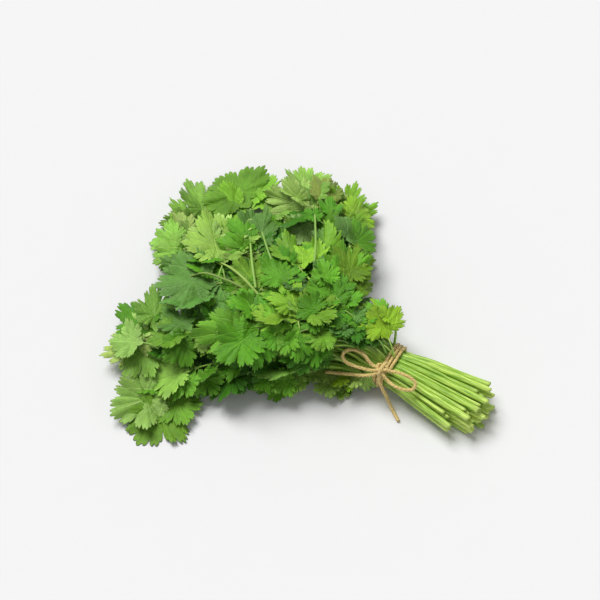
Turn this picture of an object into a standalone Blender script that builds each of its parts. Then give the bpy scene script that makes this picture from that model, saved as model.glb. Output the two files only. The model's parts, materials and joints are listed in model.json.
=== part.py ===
"""A tied bunch of fresh coriander, lying on its side.

Twenty stems are bundled in four rows by a twine tie. They fan out a little towards their cut ends
at +X, and widely towards -X, where each ends in a leaf. More leaves stand between them.
Every stem and leaf is laid on the ones below it, from the bottom of the bunch to the top,
so each piece rests just clear of its neighbours.
The bunch is modelled around the middle of the tie and then moved, so that the origin lies under
the centre of its bounding box, on the surface that it lies on.
"""

import math

import bmesh
import bpy
import numpy as np

MM = 0.001
COLLECTION = "coriander_bunch"

# Stems. Each tapers from its cut end, through the tie, to its leaf.
CUT_RADIUS = 2.3 * MM
TIE_RADIUS = 1.95 * MM
TIP_RADIUS = 1.1 * MM
STEM_GAP = 0.3 * MM
ROW_GAP = 0.7 * MM
ROW_COUNTS = (4, 6, 6, 4)
CUT_FAN = 1.75
CUT_REACH = 64 * MM
CUT_BULGE = 10 * MM
CUT_SHEAR = 0.12
CUT_JITTER = 3.5 * MM
STEM_POINTS_CUT = 3
STEM_POINTS_LEAF = 6
START_TURN = 0.35
# The stems run straight through the tie, this far to each side, and then leave its height.
TIE_HALF = 5.5 * MM
SETTLE_REACH = 20 * MM

# Leaves.
LEAF_THICKNESS = 0.8 * MM
PETIOLE_HALF_WIDTH = 0.7 * MM
PETIOLE_LENGTH = 9 * MM
PETIOLE_JOINT_GAP = 0.5 * MM
LEAF_RINGS = (0.5, 1.0)
# A leaflet's edge, as (share of its half angle, share of its length).
# It has three lobes, or one on a narrow leaflet.
BROAD_EDGE = (
    (-0.88, 0.64), (-0.62, 0.92), (-0.34, 0.82), (-0.14, 0.99),
    (0.14, 0.99), (0.34, 0.82), (0.62, 0.92), (0.88, 0.64),
)
PETIOLE_EDGE = ((-1.0, 1.0), (1.0, 1.0))
NARROW_EDGE = ((-0.75, 0.72), (-0.3, 0.98), (0.3, 0.98), (0.75, 0.72))
NARROWEST_BROAD = math.radians(13)
NOTCH = 0.42
LEAFLET_GAP = math.radians(2.5)
# A notch wider than this has a flat bottom.
WIDE_NOTCH = math.radians(14)
# A leaf is (x, y, leaflets), in millimetres, where the point is the one where its leaflets meet.
# A leaflet is (bearing, length, half angle), in degrees and millimetres.
# Leaves on the stems of each row, from the bottom row up:
STEM_LEAVES = (
    (
        (-107, -76, ((272, 42, 40), (236, 42, 28), (322, 28, 34), (196, 30, 26))),
        (-41, -24, ((225, 47, 36), (184, 36, 32), (264, 30, 30))),
        (-53, 35, ((106, 42, 40), (62, 30, 34), (150, 36, 32))),
        (-148, 31, ((140, 40, 30), (110, 40, 24), (174, 32, 30), (204, 34, 26))),
    ),
    (
        (-131, -55, ((266, 36, 28), (232, 35, 28), (199, 33, 28), (163, 36, 30), (127, 36, 28))),
        (-69, -47, ((225, 30, 38), (180, 28, 34), (270, 26, 34))),
        (-98, -61, ((222, 34, 34), (182, 30, 30), (262, 26, 30), (335, 22, 34))),
        (-146, 9, ((192, 30, 34), (150, 32, 30), (232, 28, 34), (108, 24, 30))),
        (-128, 51, ((156, 38, 40), (112, 34, 30), (204, 32, 34), (72, 24, 28))),
        (-74, 71, ((70, 29, 28), (106, 34, 26), (138, 32, 24), (36, 22, 20))),
    ),
    (
        (-109, -46, ((218, 30, 38), (168, 28, 34), (264, 28, 34))),
        (-111, -10, ((206, 45, 24), (182, 44, 20), (238, 40, 26), (154, 34, 24), (274, 30, 30))),
        (-118, 7, ((134, 41, 34), (96, 34, 28), (172, 36, 28), (214, 26, 26))),
        (-104, 19, ((155, 30, 34), (112, 36, 24), (204, 26, 30), (70, 22, 26))),
        (-70, 47, ((78, 26, 38), (28, 22, 32), (132, 30, 34))),
        (-90, 66, ((186, 37, 28), (156, 36, 22), (126, 34, 20), (98, 33, 22), (238, 26, 32))),
    ),
    (
        (-73, -27, ((219, 43, 26), (254, 39, 28), (188, 38, 24), (292, 28, 30), (150, 30, 30))),
        (-54, -16, ((131, 41, 30), (96, 36, 26), (167, 36, 28), (204, 28, 28))),
        (-31, 6, ((168, 32, 40), (118, 29, 34), (216, 28, 34))),
        (-72, 17, ((142, 34, 36), (94, 30, 34), (188, 28, 32))),
    ),
)
# Leaves that lie under the bunch, laid first.
BED_LEAVES = (
    (-15, -20, ((225, 27, 38), (276, 20, 32), (176, 22, 30))),
)
# Leaves that stand beside the stems, laid after each row.
SIDE_LEAVES = (
    (
        (-94, -54, ((196, 26, 32), (258, 22, 30), (150, 25, 32))),
    ),
    (
        (-95, -30, ((238, 32, 36), (190, 30, 34), (284, 27, 34))),
        (-88, 37, ((152, 33, 36), (104, 30, 34), (198, 28, 32))),
        (-58, -31, ((224, 31, 36), (188, 27, 30), (262, 25, 30))),
        (-97, 71, ((126, 32, 22), (156, 27, 26), (97, 27, 26))),
    ),
    (
        (-62, 27, ((115, 35, 30), (66, 27, 32), (160, 28, 32))),
        (-48, -3, ((192, 34, 38), (144, 31, 34), (240, 29, 32))),
        (-35, -20, ((186, 30, 36), (228, 27, 30))),
        (-87, -4, ((236, 27, 34), (196, 27, 30), (156, 26, 30), (116, 26, 30))),
        (-56, 48, ((84, 26, 34), (124, 28, 32), (38, 19, 28))),
    ),
    (
        (-40, 20, ((176, 27, 32), (132, 31, 36), (88, 24, 30))),
        (-18, -1, ((170, 30, 30), (128, 29, 32))),
        (-6, 15, ((142, 37, 40), (98, 28, 28), (186, 24, 28))),
    ),
)
# How high each row's stems hold their leaves, from a distance on, and how far the leaflets rise or droop.
HOLD = (3 * MM, 13 * MM, 24 * MM, 36 * MM)
HOLD_REACH = 80 * MM
LEAFLET_RISE = (-0.25, 0.12)
SEED = 11

# Stems and twine are tubes.
TUBE_RESOLUTION = 2

# Twine.
TWINE_RADIUS = 1.0 * MM
WRAP_TURNS = 3
WRAP_PITCH = 2.4 * MM
WRAP_POINTS_PER_TURN = 22
WRAP_START = math.radians(125)
KNOT_SIZE = (4.6 * MM, 4.2 * MM, 3.4 * MM)
# Routes of the bow, measured from the middle of the tie at floor level, in millimetres.
ROUTES = {
    "twine_loop_left": (
        (-6, -11.8, 25.2), (-9, -11.2, 26.8), (-13, -9.9, 28.8), (-18.4, -10.2, 29.8),
        (-23, -12.4, 28.8),
        (-24.2, -15.6, 26.2), (-20.5, -17.2, 23.8), (-15, -16.4, 22.8), (-9.4, -15.2, 22.8),
        (-5.8, -14.4, 23.2),
    ),
    "twine_loop_right": (
        (5.6, -10.0, 25.2), (8.5, -9.2, 26.2), (12.5, -8.7, 26.6), (17.6, -8.4, 26.4), (21.6, -9.3, 25.2),
        (22.0, -12.2, 22.8), (18.3, -14.6, 21.8), (12.8, -15.8, 21.8), (8.0, -15.4, 22.2), (5.6, -14.6, 22.4),
    ),
    "twine_tail_left": (
        (-4.6, -16.4, 21.6), (-8.6, -17.8, 19.4), (-14.7, -18.6, 16), (-21.2, -19.8, 12.8),
        (-31.6, -22.8, 9.8),
    ),
    "twine_tail_right": (
        (1.2, -16.2, 20.6), (4.4, -18.0, 16.5), (7.6, -18.6, 11.0), (10.4, -19.2, 5.5), (14.0, -21.0, 2.0),
        (20.4, -25.2, 1.1),
    ),
}
ROUTE_STEP = 2.2 * TWINE_RADIUS * 2

# The height map that pieces are laid on.
CELL = 0.5 * MM
MAP_LOW = (-0.230, -0.160)
MAP_CELLS = (660, 640)
LAY_GAP = 0.4 * MM
# A stem is raised in rounds; what lacks height nearer to the tie than this share of a segment is ignored.
LEAST_SHARE = 0.2
LAY_ROUNDS = 40
# A laid leaf follows the pile like cloth that slopes no more than this, worked out in steps of cells.
DRAPE_SLOPE = 0.6
DRAPE_STEPS = (1, 2, 4, 8, 16, 32)
# How many parts a triangle's edge is cut into to mark its cells, and how upright it counts at most.
FINE = 32
LEAST_SLOPE = 0.3
# Within this distance of the tie, the stems of one row run side by side and never cross.
ROW_REACH = 12 * MM

COLOURS = {
    "stem": (0.42, 0.60, 0.20, 1.0),
    "leaf": (0.13, 0.32, 0.06, 1.0),
    "twine": (0.50, 0.33, 0.16, 1.0),
}


def clear_scene():
    for obj in list(bpy.data.objects):
        bpy.data.objects.remove(obj, do_unlink=True)


def make_collection(name):
    collection = bpy.data.collections.new(name)
    bpy.context.scene.collection.children.link(collection)
    return collection


def make_material(name, colour, roughness):
    material = bpy.data.materials.new(name)
    material.use_nodes = True
    shader = material.node_tree.nodes["Principled BSDF"]
    shader.inputs["Base Color"].default_value = colour
    shader.inputs["Roughness"].default_value = roughness
    return material


def smooth_route(points, step):
    """Points at an even step along a Catmull-Rom curve through the given points."""
    points = np.asarray(points, float)
    padded = np.vstack([2 * points[0] - points[1], points, 2 * points[-1] - points[-2]])
    t = np.linspace(0, 1, 40, endpoint=False)[:, None]
    runs = []
    for a, b, c, d in zip(padded, padded[1:], padded[2:], padded[3:]):
        run = 2 * b + (c - a) * t + (2 * a - 5 * b + 4 * c - d) * t**2 + (3 * b - a - 3 * c + d) * t**3
        runs.append(0.5 * run)
    dense = np.vstack(runs + [points[-1:]])
    along = np.concatenate([[0], np.cumsum(np.linalg.norm(np.diff(dense, axis=0), axis=1))])
    count = max(4, round(along[-1] / step) + 1)
    even = np.linspace(0, along[-1], count)
    return np.column_stack([np.interp(even, along, dense[:, axis]) for axis in range(3)])


def widest(top):
    """A height map whose cells each take the highest of themselves and their neighbours."""
    padded = np.pad(top, 1)
    rows, columns = top.shape
    return np.max([padded[i : i + rows, j : j + columns] for i in range(3) for j in range(3)], axis=0)


class HeightMap:
    """The top of what has been laid so far, as one height for each square cell of the floor."""

    def __init__(self):
        self.top = np.zeros(MAP_CELLS)
        self.rows_below = self.top.copy()

    def start_row(self):
        """Keeps what lies below a new row, because its stems ignore each other near the tie."""
        self.rows_below = self.top.copy()

    def cells(self, points):
        """The cell numbers of points, along x and y."""
        index = np.floor((points[:, :2] - MAP_LOW) / CELL).astype(int)
        return index[:, 0], index[:, 1]

    def below(self, points, beside=None):
        """The height of what lies below each point; points beside their row's stems see only lower rows."""
        cells = self.cells(points)
        under = widest(self.top)[cells]
        if beside is not None:
            under = np.where(beside, widest(self.rows_below)[cells], under)
        return under + np.where(under > 0, LAY_GAP, 0)

    def draped(self, points):
        """The height at each point of a cloth laid over the pile that slopes no more than DRAPE_SLOPE."""
        cloth = widest(self.top)
        for step in DRAPE_STEPS:
            for x in (-step, 0, step):
                for y in (-step, 0, step):
                    fall = DRAPE_SLOPE * CELL * math.hypot(x, y)
                    cloth = np.maximum(cloth, np.roll(cloth, (x, y), (0, 1)) - fall)
        return cloth[self.cells(points)] + LAY_GAP

    def add(self, high_points):
        """Marks points as filled from below."""
        np.maximum.at(self.top, self.cells(high_points), high_points[:, 2])


def tie_places():
    """The stems' centres where the twine holds them, one list for each row, from the bottom up."""
    bottom = 2 * TWINE_RADIUS + STEM_GAP + TIE_RADIUS
    rows = []
    for row, count in enumerate(ROW_COUNTS):
        across = (np.arange(count) - (count - 1) / 2) * (2 * TIE_RADIUS + STEM_GAP)
        rows.append([(float(y), bottom + row * (2 * TIE_RADIUS + ROW_GAP)) for y in across])
    return rows


def plan_curve(start, start_way, end, end_way, count):
    """Points of a cubic Bezier curve in plan, from start to end with the given directions."""
    start, end = np.asarray(start, float), np.asarray(end, float)
    reach = np.linalg.norm(end - start) / 3
    near = start + reach * np.asarray(start_way)
    far = end - reach * np.asarray(end_way)
    t = np.linspace(0, 1, count)[:, None]
    return (1 - t) ** 3 * start + 3 * t * (1 - t) ** 2 * near + 3 * t**2 * (1 - t) * far + t**3 * end


def tube_samples(points, radii):
    """Points all round a tube, and where each is along it, counted in the tube's own points.

    They are close enough together to mark every cell that the tube covers.
    """
    along = np.concatenate([[0], np.cumsum(np.linalg.norm(np.diff(points, axis=0), axis=1))])
    even = np.linspace(0, along[-1], int(along[-1] / (0.5 * CELL)) + 2)
    dense = np.column_stack([np.interp(even, along, points[:, axis]) for axis in range(3)])
    radius = np.interp(even, along, radii)
    way = np.gradient(dense[:, :2], axis=0)
    way /= np.linalg.norm(way, axis=1)[:, None] + 1e-12
    side = np.column_stack([-way[:, 1], way[:, 0], np.zeros(len(way))])
    samples = []
    for angle in np.linspace(0, 2 * math.pi, 12, endpoint=False):
        ring = dense + (radius * math.cos(angle))[:, None] * side
        ring[:, 2] += radius * math.sin(angle)
        samples.append(ring)
    position = np.interp(even, along, np.arange(len(points)))
    return np.vstack(samples), np.tile(position, len(samples))


def way(bearing):
    """The unit vector in plan with a bearing from +X."""
    return np.array([math.cos(bearing), math.sin(bearing)])


def turn_between(start, end):
    """The turn from one bearing to another, the short way round."""
    return (end - start + math.pi) % (2 * math.pi) - math.pi


def room(bearing, neighbour):
    """The half angle that a leaflet may have beside a neighbouring one."""
    return abs(turn_between(bearing, neighbour)) / 2 - LEAFLET_GAP


class Leaf:
    """One compound leaf: a thin sheet of leaflets that meet at a point, with a short petiole behind it."""

    def __init__(self, entry, hold, rng):
        x, y, leaflets = entry
        self.point = np.array([x, y]) * MM
        self.leaflets = [
            (math.radians(bearing), length * MM, math.radians(half))
            for bearing, length, half in leaflets
        ]
        self.size = max(length for _, length, _ in self.leaflets)
        spread = np.sum([length * way(bearing) for bearing, length, _ in self.leaflets], axis=0)
        ahead = spread / np.linalg.norm(spread) + self.point / np.linalg.norm(self.point)
        self.ahead = ahead / np.linalg.norm(ahead)
        self.behind = math.atan2(-self.ahead[1], -self.ahead[0])
        self.hold = hold * min(1, np.linalg.norm(self.point) / HOLD_REACH)
        self.rises = rng.uniform(*LEAFLET_RISE, len(self.leaflets))
        self.sheet = self.bent_sheet()

    def outline(self):
        """The outline as bearings and distances from where the leaflets meet, once round."""
        petiole_half = math.asin(PETIOLE_HALF_WIDTH / PETIOLE_LENGTH)
        lobes = []
        for bearing, length, half in self.leaflets:
            edge = BROAD_EDGE if half > NARROWEST_BROAD else NARROW_EDGE
            lobes.append((bearing % (2 * math.pi), length, half, edge))
        lobes.append((self.behind % (2 * math.pi), PETIOLE_LENGTH, petiole_half, PETIOLE_EDGE))
        lobes.sort()
        before, after = lobes[-1:] + lobes[:-1], lobes[1:] + lobes[:1]
        lobes = [
            (bearing, length, min(half, room(bearing, last[0]), room(bearing, following[0])), edge)
            for last, (bearing, length, half, edge), following in zip(before, lobes, after)
        ]
        angles, radii = [], []
        for (bearing, length, half, edge), following in zip(lobes, lobes[1:] + lobes[:1]):
            angles += [bearing + turn * half for turn, _ in edge]
            radii += [reach * length for _, reach in edge]
            gap_start = bearing + half
            gap = turn_between(gap_start, following[0] - following[2])
            low = NOTCH * min(length, following[1])
            if gap < WIDE_NOTCH:
                angles.append(gap_start + gap / 2)
                radii.append(low)
            else:
                angles += [gap_start + 0.2 * gap, gap_start + 0.8 * gap]
                radii += [low, low]
        return np.array(angles), np.array(radii)

    def bent_sheet(self):
        """The sheet's corners and triangles before it is laid: each leaflet bends up towards its tip."""
        angles, radii = self.outline()
        mesh = bmesh.new()
        around = len(angles)
        bmesh.ops.create_circle(mesh, cap_ends=True, cap_tris=True, segments=around, radius=LEAF_RINGS[0])
        for inner, outer in zip(LEAF_RINGS, LEAF_RINGS[1:]):
            rim = [edge for edge in mesh.edges if edge.is_boundary]
            grown = bmesh.ops.extrude_edge_only(mesh, edges=rim)["geom"]
            corners = [item for item in grown if isinstance(item, bmesh.types.BMVert)]
            bmesh.ops.scale(mesh, vec=(outer / inner,) * 3, verts=corners)
        bmesh.ops.recalc_face_normals(mesh, faces=mesh.faces[:])
        bmesh.ops.triangulate(mesh, faces=mesh.faces[:])
        mesh.verts.index_update()
        disc = np.array([corner.co[:] for corner in mesh.verts])
        triangles = np.array([[corner.index for corner in face.verts] for face in mesh.faces])
        mesh.free()
        spoke = np.round(np.arctan2(disc[:, 1], disc[:, 0]) / (2 * math.pi / around)).astype(int) % around
        distance = np.hypot(disc[:, 0], disc[:, 1]) * radii[spoke]
        bearing = angles[spoke]
        centres = [leaflet[0] for leaflet in self.leaflets] + [self.behind]
        rise = np.interp(bearing, centres, [*self.rises, 0], period=2 * math.pi)
        up = rise * distance**2 / self.size
        plan = self.point + distance[:, None] * np.column_stack([np.cos(bearing), np.sin(bearing)])
        return np.column_stack([plan, up]), triangles

    def lay_on(self, heights):
        """Drapes the leaf over what lies below it, and marks it as laid."""
        corners = self.sheet[0]
        draped = heights.draped(corners) + 0.5 * LEAF_THICKNESS
        corners[:, 2] = np.maximum(self.hold + corners[:, 2], draped)
        low = self.samples()[0]
        lift = max(0.0, float(np.max(heights.below(low) - low[:, 2])))
        corners[:, 2] += lift
        heights.add(self.samples()[1])

    def stem_end(self):
        """Where its stem stops, in plan."""
        return self.point - (PETIOLE_LENGTH + PETIOLE_JOINT_GAP) * self.ahead

    def samples(self):
        """Points all over the sheet's lower face, and the same on its upper face."""
        corners, triangles = self.sheet
        share = np.array([(i, j, FINE - i - j) for i in range(FINE + 1) for j in range(FINE + 1 - i)]) / FINE
        picked = corners[triangles]
        points = np.einsum("sk,tkc->tsc", share, picked)
        normal = np.cross(picked[:, 1] - picked[:, 0], picked[:, 2] - picked[:, 0])
        slope = np.abs(normal[:, 2]) / (np.linalg.norm(normal, axis=1) + 1e-12)
        half = 0.5 * LEAF_THICKNESS / np.maximum(slope, LEAST_SLOPE)
        low, high = points.copy(), points.copy()
        low[..., 2] -= half[:, None]
        high[..., 2] += half[:, None]
        return low.reshape(-1, 3), high.reshape(-1, 3)


def stem_to_leaf(start, leaf):
    """A stem's points from the tie to its leaf before it is laid, and their radii."""
    y, z = start
    end = leaf.stem_end()
    from_tie = np.array([-TIE_HALF, y])
    toward = (end - from_tie) / np.linalg.norm(end - from_tie)
    start_way = np.array([-1.0, START_TURN * toward[1]])
    plan = plan_curve(from_tie, start_way / np.linalg.norm(start_way), end, leaf.ahead, STEM_POINTS_LEAF + 1)
    distance = np.linalg.norm(plan - plan[0], axis=1)
    height = leaf.hold + (z - leaf.hold) * np.exp(-distance / SETTLE_REACH)
    radii = TIE_RADIUS + (TIP_RADIUS - TIE_RADIUS) * distance / distance[-1]
    return np.column_stack([plan, height]), radii


def stem_to_cut(start, row, rng):
    """A stem's points from the tie straight to its cut end before it is laid, and their radii."""
    y, z = start
    end_height = CUT_RADIUS + row * (2 * CUT_RADIUS + ROW_GAP)
    half_width = (max(ROW_COUNTS) - 1) / 2 * (2 * TIE_RADIUS + STEM_GAP)
    across = y / half_width
    reach = CUT_REACH - CUT_BULGE * across**2 + CUT_SHEAR * y * CUT_FAN + rng.uniform(-CUT_JITTER, CUT_JITTER)
    share = np.linspace(0, 1, STEM_POINTS_CUT + 1)
    plan = np.column_stack([TIE_HALF + (reach - TIE_HALF) * share, y * (1 + (CUT_FAN - 1) * share)])
    height = z + (end_height - z) * share
    radii = TIE_RADIUS + (CUT_RADIUS - TIE_RADIUS) * share
    return np.column_stack([plan, height]), radii


def lay_stem(heights, points, radii):
    """Raises one side of a stem, all but its first point, until it clears what lies below."""
    for _ in range(LAY_ROUNDS):
        samples, position = tube_samples(points, radii)
        from_tie = np.linalg.norm(samples[:, :2] - points[0, :2], axis=1)
        lack = heights.below(samples, from_tie < ROW_REACH) - samples[:, 2]
        if lack.max() <= 0:
            break
        raised = np.zeros(len(points))
        for step in range(len(points) - 1):
            here = (position >= step) & (position <= step + 1) & (lack > 0)
            if not here.any():
                continue
            share = np.maximum(position[here] - step, LEAST_SHARE / 2)
            if step == 0:
                raised[1] = max(raised[1], float(np.max(lack[here] / share * (share > LEAST_SHARE))))
            else:
                raised[step : step + 2] = np.maximum(raised[step : step + 2], float(np.max(lack[here])))
        points[:, 2] += raised


def wrap_points(places):
    """The twine's helix round the outermost stems: each point stands off the stem furthest that way."""
    centres = np.array([place for row in places for place in row])
    stand_off = TIE_RADIUS + STEM_GAP + TWINE_RADIUS
    count = WRAP_TURNS * WRAP_POINTS_PER_TURN
    turns = np.linspace(0, WRAP_TURNS, count + 1)
    angles = WRAP_START + 2 * math.pi * turns
    ways = np.column_stack([np.cos(angles), np.sin(angles)])
    furthest = centres[np.argmax(ways @ centres.T, axis=1)]
    ring = furthest + stand_off * ways
    along = (turns - WRAP_TURNS / 2) * WRAP_PITCH
    return np.column_stack([along, ring])


def knot_place(wrap):
    """The knot's centre, standing off the wrap where the twine starts."""
    way = np.array([0, math.cos(WRAP_START), math.sin(WRAP_START)])
    middle = np.array([0, wrap[0, 1], wrap[0, 2]])
    return middle + way * (TWINE_RADIUS + STEM_GAP + KNOT_SIZE[2])


def make_tube(name, points, radii, material, collection):
    """A tube with flat closed ends along the points, with its radius at each."""
    data = bpy.data.curves.new(name, "CURVE")
    data.dimensions = "3D"
    data.bevel_depth = 1.0
    data.bevel_resolution = TUBE_RESOLUTION
    data.use_fill_caps = True
    data.resolution_u = 1
    spline = data.splines.new("POLY")
    spline.points.add(len(points) - 1)
    for point, place, radius in zip(spline.points, points, radii):
        point.co = (*place, 1)
        point.radius = radius
    spline.use_smooth = True
    data.materials.append(material)
    obj = bpy.data.objects.new(name, data)
    collection.objects.link(obj)
    return obj


def make_leaf(name, leaf, material, collection):
    corners, triangles = leaf.sheet
    data = bpy.data.meshes.new(name)
    data.from_pydata(corners.tolist(), [], triangles.tolist())
    data.shade_smooth()
    data.materials.append(material)
    obj = bpy.data.objects.new(name, data)
    collection.objects.link(obj)
    solid = obj.modifiers.new("thickness", "SOLIDIFY")
    solid.thickness = LEAF_THICKNESS
    solid.offset = 0
    return obj


def make_knot(place, material, collection):
    """A lump of twine: a sphere pressed flat, tilted to face the way it stands off the bundle."""
    mesh = bmesh.new()
    bmesh.ops.create_uvsphere(mesh, u_segments=12, v_segments=8, radius=1)
    bmesh.ops.scale(mesh, vec=KNOT_SIZE, verts=mesh.verts[:])
    data = bpy.data.meshes.new("twine_knot")
    mesh.to_mesh(data)
    mesh.free()
    data.shade_smooth()
    data.materials.append(material)
    obj = bpy.data.objects.new("twine_knot", data)
    obj.location = place
    obj.rotation_euler = (WRAP_START - math.pi / 2, 0, 0)
    collection.objects.link(obj)
    return obj


def lay_bunch():
    """Every stem and leaf of the bunch at rest, from the bottom row up."""
    rng = np.random.default_rng(SEED)
    heights = HeightMap()
    stems, leaves = [], []
    places = tie_places()
    wrap = wrap_points(places)
    for entry in BED_LEAVES:
        leaves.append(Leaf(entry, HOLD[0], rng))
        leaves[-1].lay_on(heights)
    for row, rows_leaves in enumerate(STEM_LEAVES):
        laid = [Leaf(entry, HOLD[row], rng) for entry in rows_leaves]
        laid.sort(key=lambda leaf: math.atan2(leaf.point[1], -leaf.point[0]))
        heights.start_row()
        for start, leaf in zip(places[row], laid):
            near, near_radii = stem_to_leaf(start, leaf)
            lay_stem(heights, near, near_radii)
            far, far_radii = stem_to_cut(start, row, rng)
            lay_stem(heights, far, far_radii)
            points = np.vstack([far[::-1], near])
            radii = np.concatenate([far_radii[::-1], near_radii])
            stems.append((points, radii))
            heights.add(tube_samples(points, radii)[0])
            leaf.lay_on(heights)
            leaves.append(leaf)
        if row == len(STEM_LEAVES) - 1:
            heights.add(tube_samples(wrap, np.full(len(wrap), TWINE_RADIUS))[0])
        for entry in SIDE_LEAVES[row]:
            leaves.append(Leaf(entry, HOLD[row], rng))
            leaves[-1].lay_on(heights)
    return stems, leaves, wrap


def centre_on_floor(objects, framing):
    """Moves everything so that the framing objects' box stands centred over the origin, on z = 0."""
    bpy.context.view_layer.update()
    graph = bpy.context.evaluated_depsgraph_get()
    corners = []
    for obj in framing:
        solid = obj.evaluated_get(graph)
        mesh = solid.to_mesh()
        flat = np.zeros(3 * len(mesh.vertices), np.float32)
        mesh.vertices.foreach_get("co", flat)
        place = np.array(obj.matrix_world)
        corners.append(flat.reshape(-1, 3) @ place[:3, :3].T + place[:3, 3])
        solid.to_mesh_clear()
    corners = np.vstack(corners)
    low, high = corners.min(0), corners.max(0)
    shift = (-(low[0] + high[0]) / 2, -(low[1] + high[1]) / 2, -low[2])
    for obj in objects:
        obj.location = [here + there for here, there in zip(obj.location, shift)]


def main():
    clear_scene()
    bunch = make_collection(COLLECTION)
    stem_skin = make_material("stem", COLOURS["stem"], 0.45)
    leaf_skin = make_material("leaf", COLOURS["leaf"], 0.5)
    jute = make_material("twine", COLOURS["twine"], 0.9)
    stems, leaves, wrap = lay_bunch()
    objects = []
    for number, (points, radii) in enumerate(stems, 1):
        objects.append(make_tube(f"stem_{number:02d}", points, radii, stem_skin, bunch))
    for number, leaf in enumerate(leaves, 1):
        objects.append(make_leaf(f"leaf_{number:02d}", leaf, leaf_skin, bunch))
    objects.append(make_tube("twine_wrap", wrap, np.full(len(wrap), TWINE_RADIUS), jute, bunch))
    objects.append(make_knot(knot_place(wrap), jute, bunch))
    framing = list(objects)
    for name, route in ROUTES.items():
        points = smooth_route(np.array(route) * MM, ROUTE_STEP)
        objects.append(make_tube(name, points, np.full(len(points), TWINE_RADIUS), jute, bunch))
    centre_on_floor(objects, framing)


main()
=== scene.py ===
# %% [markdown]
# # A tied bunch of fresh coriander
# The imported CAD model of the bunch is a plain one: twenty round stems, thirty-four flat leaves and a
# smooth piece of twine. It settles where everything is and how big it is. This script keeps those places
# and sizes, and builds what the eye expects at each of them: lobed and toothed leaflets with veins,
# ridged stems with cut ends, and three-ply jute twine tied in a bow.
# Everything is in metres, in the same frame as the CAD.

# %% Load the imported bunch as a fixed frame
import json
import math

import bpy
import numpy as np
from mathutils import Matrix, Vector

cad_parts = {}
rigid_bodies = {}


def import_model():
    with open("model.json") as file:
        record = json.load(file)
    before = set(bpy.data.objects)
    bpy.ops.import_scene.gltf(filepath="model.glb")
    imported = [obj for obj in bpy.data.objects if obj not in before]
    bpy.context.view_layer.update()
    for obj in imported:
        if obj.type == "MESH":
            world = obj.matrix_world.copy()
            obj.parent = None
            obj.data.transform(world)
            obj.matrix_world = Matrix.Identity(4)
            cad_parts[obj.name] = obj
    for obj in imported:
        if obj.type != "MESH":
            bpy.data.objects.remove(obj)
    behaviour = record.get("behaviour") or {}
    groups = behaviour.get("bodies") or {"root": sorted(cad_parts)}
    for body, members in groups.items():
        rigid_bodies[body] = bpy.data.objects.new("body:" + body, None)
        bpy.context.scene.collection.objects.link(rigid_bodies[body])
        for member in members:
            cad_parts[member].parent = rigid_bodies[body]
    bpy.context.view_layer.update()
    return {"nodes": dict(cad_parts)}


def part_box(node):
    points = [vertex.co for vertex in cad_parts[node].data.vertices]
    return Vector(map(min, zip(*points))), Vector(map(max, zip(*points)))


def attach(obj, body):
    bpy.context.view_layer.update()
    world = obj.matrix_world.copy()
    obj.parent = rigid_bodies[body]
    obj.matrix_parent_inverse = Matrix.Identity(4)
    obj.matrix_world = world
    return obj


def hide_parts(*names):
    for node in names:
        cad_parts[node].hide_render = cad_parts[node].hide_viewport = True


for leftover in list(bpy.data.objects):
    bpy.data.objects.remove(leftover)
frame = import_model()
MM = 0.001

# %% [markdown]
# ## The camera
# The camera looks down on the bunch from the front, at a steep angle, with a long lens, so that near and
# far leaves keep the same scale. The tie is the one place that is easy to find again, so the camera is
# set out from the middle of the tie: the view's centre lies a little to its left and above it.

# %% Make the camera
wrap_low, wrap_high = (np.array(corner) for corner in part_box("twine_wrap"))
TIE = np.array([*(wrap_low[:2] + wrap_high[:2]) / 2, 0.0])
TIE_HEIGHT = 24 * MM
TIE_MIDDLE = TIE + (0, 0, TIE_HEIGHT / 2)
AZIMUTH, ELEVATION = math.radians(30.5), math.radians(60)
CAMERA_DISTANCE = 1.1
VIEW_WIDTH = 0.36
VIEW_LEFT, VIEW_UP = 0.054, 0.039
RIGHT = np.array([math.cos(AZIMUTH), math.sin(AZIMUTH), 0])
UP = np.array([-math.sin(AZIMUTH) * math.sin(ELEVATION), math.cos(AZIMUTH) * math.sin(ELEVATION),
               math.cos(ELEVATION)])
TOWARDS_CAMERA = np.cross(RIGHT, UP)

camera_data = bpy.data.cameras.new("camera")
camera_data.sensor_width = 36
camera_data.lens = camera_data.sensor_width * CAMERA_DISTANCE / VIEW_WIDTH
camera = bpy.data.objects.new("camera", camera_data)
bpy.context.scene.collection.objects.link(camera)
view_centre = TIE_MIDDLE - VIEW_LEFT * RIGHT + VIEW_UP * UP
camera.location = view_centre + CAMERA_DISTANCE * TOWARDS_CAMERA
camera.rotation_euler = (math.pi / 2 - ELEVATION, 0, AZIMUTH)
bpy.context.scene.camera = camera
print("lens in mm:", round(camera_data.lens, 1))

# %% [markdown]
# ## Smooth lines and tubes
# Stems, petioles and twine are all the same kind of shape: a cross-section carried along a line.
# Blender can do that with a bevelled curve, but a mesh worked out with numpy can also twist its section
# and keep its own coordinates for the material to read. So one function makes the line even and smooth,
# and another carries a ring of points along it.

# %% Draw an even smooth line through a few points
SMOOTH_STEPS = 24


def distances(line):
    """How far along the line each of its points lies."""
    return np.concatenate([[0], np.cumsum(np.linalg.norm(np.diff(line, axis=0), axis=1))])


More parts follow.
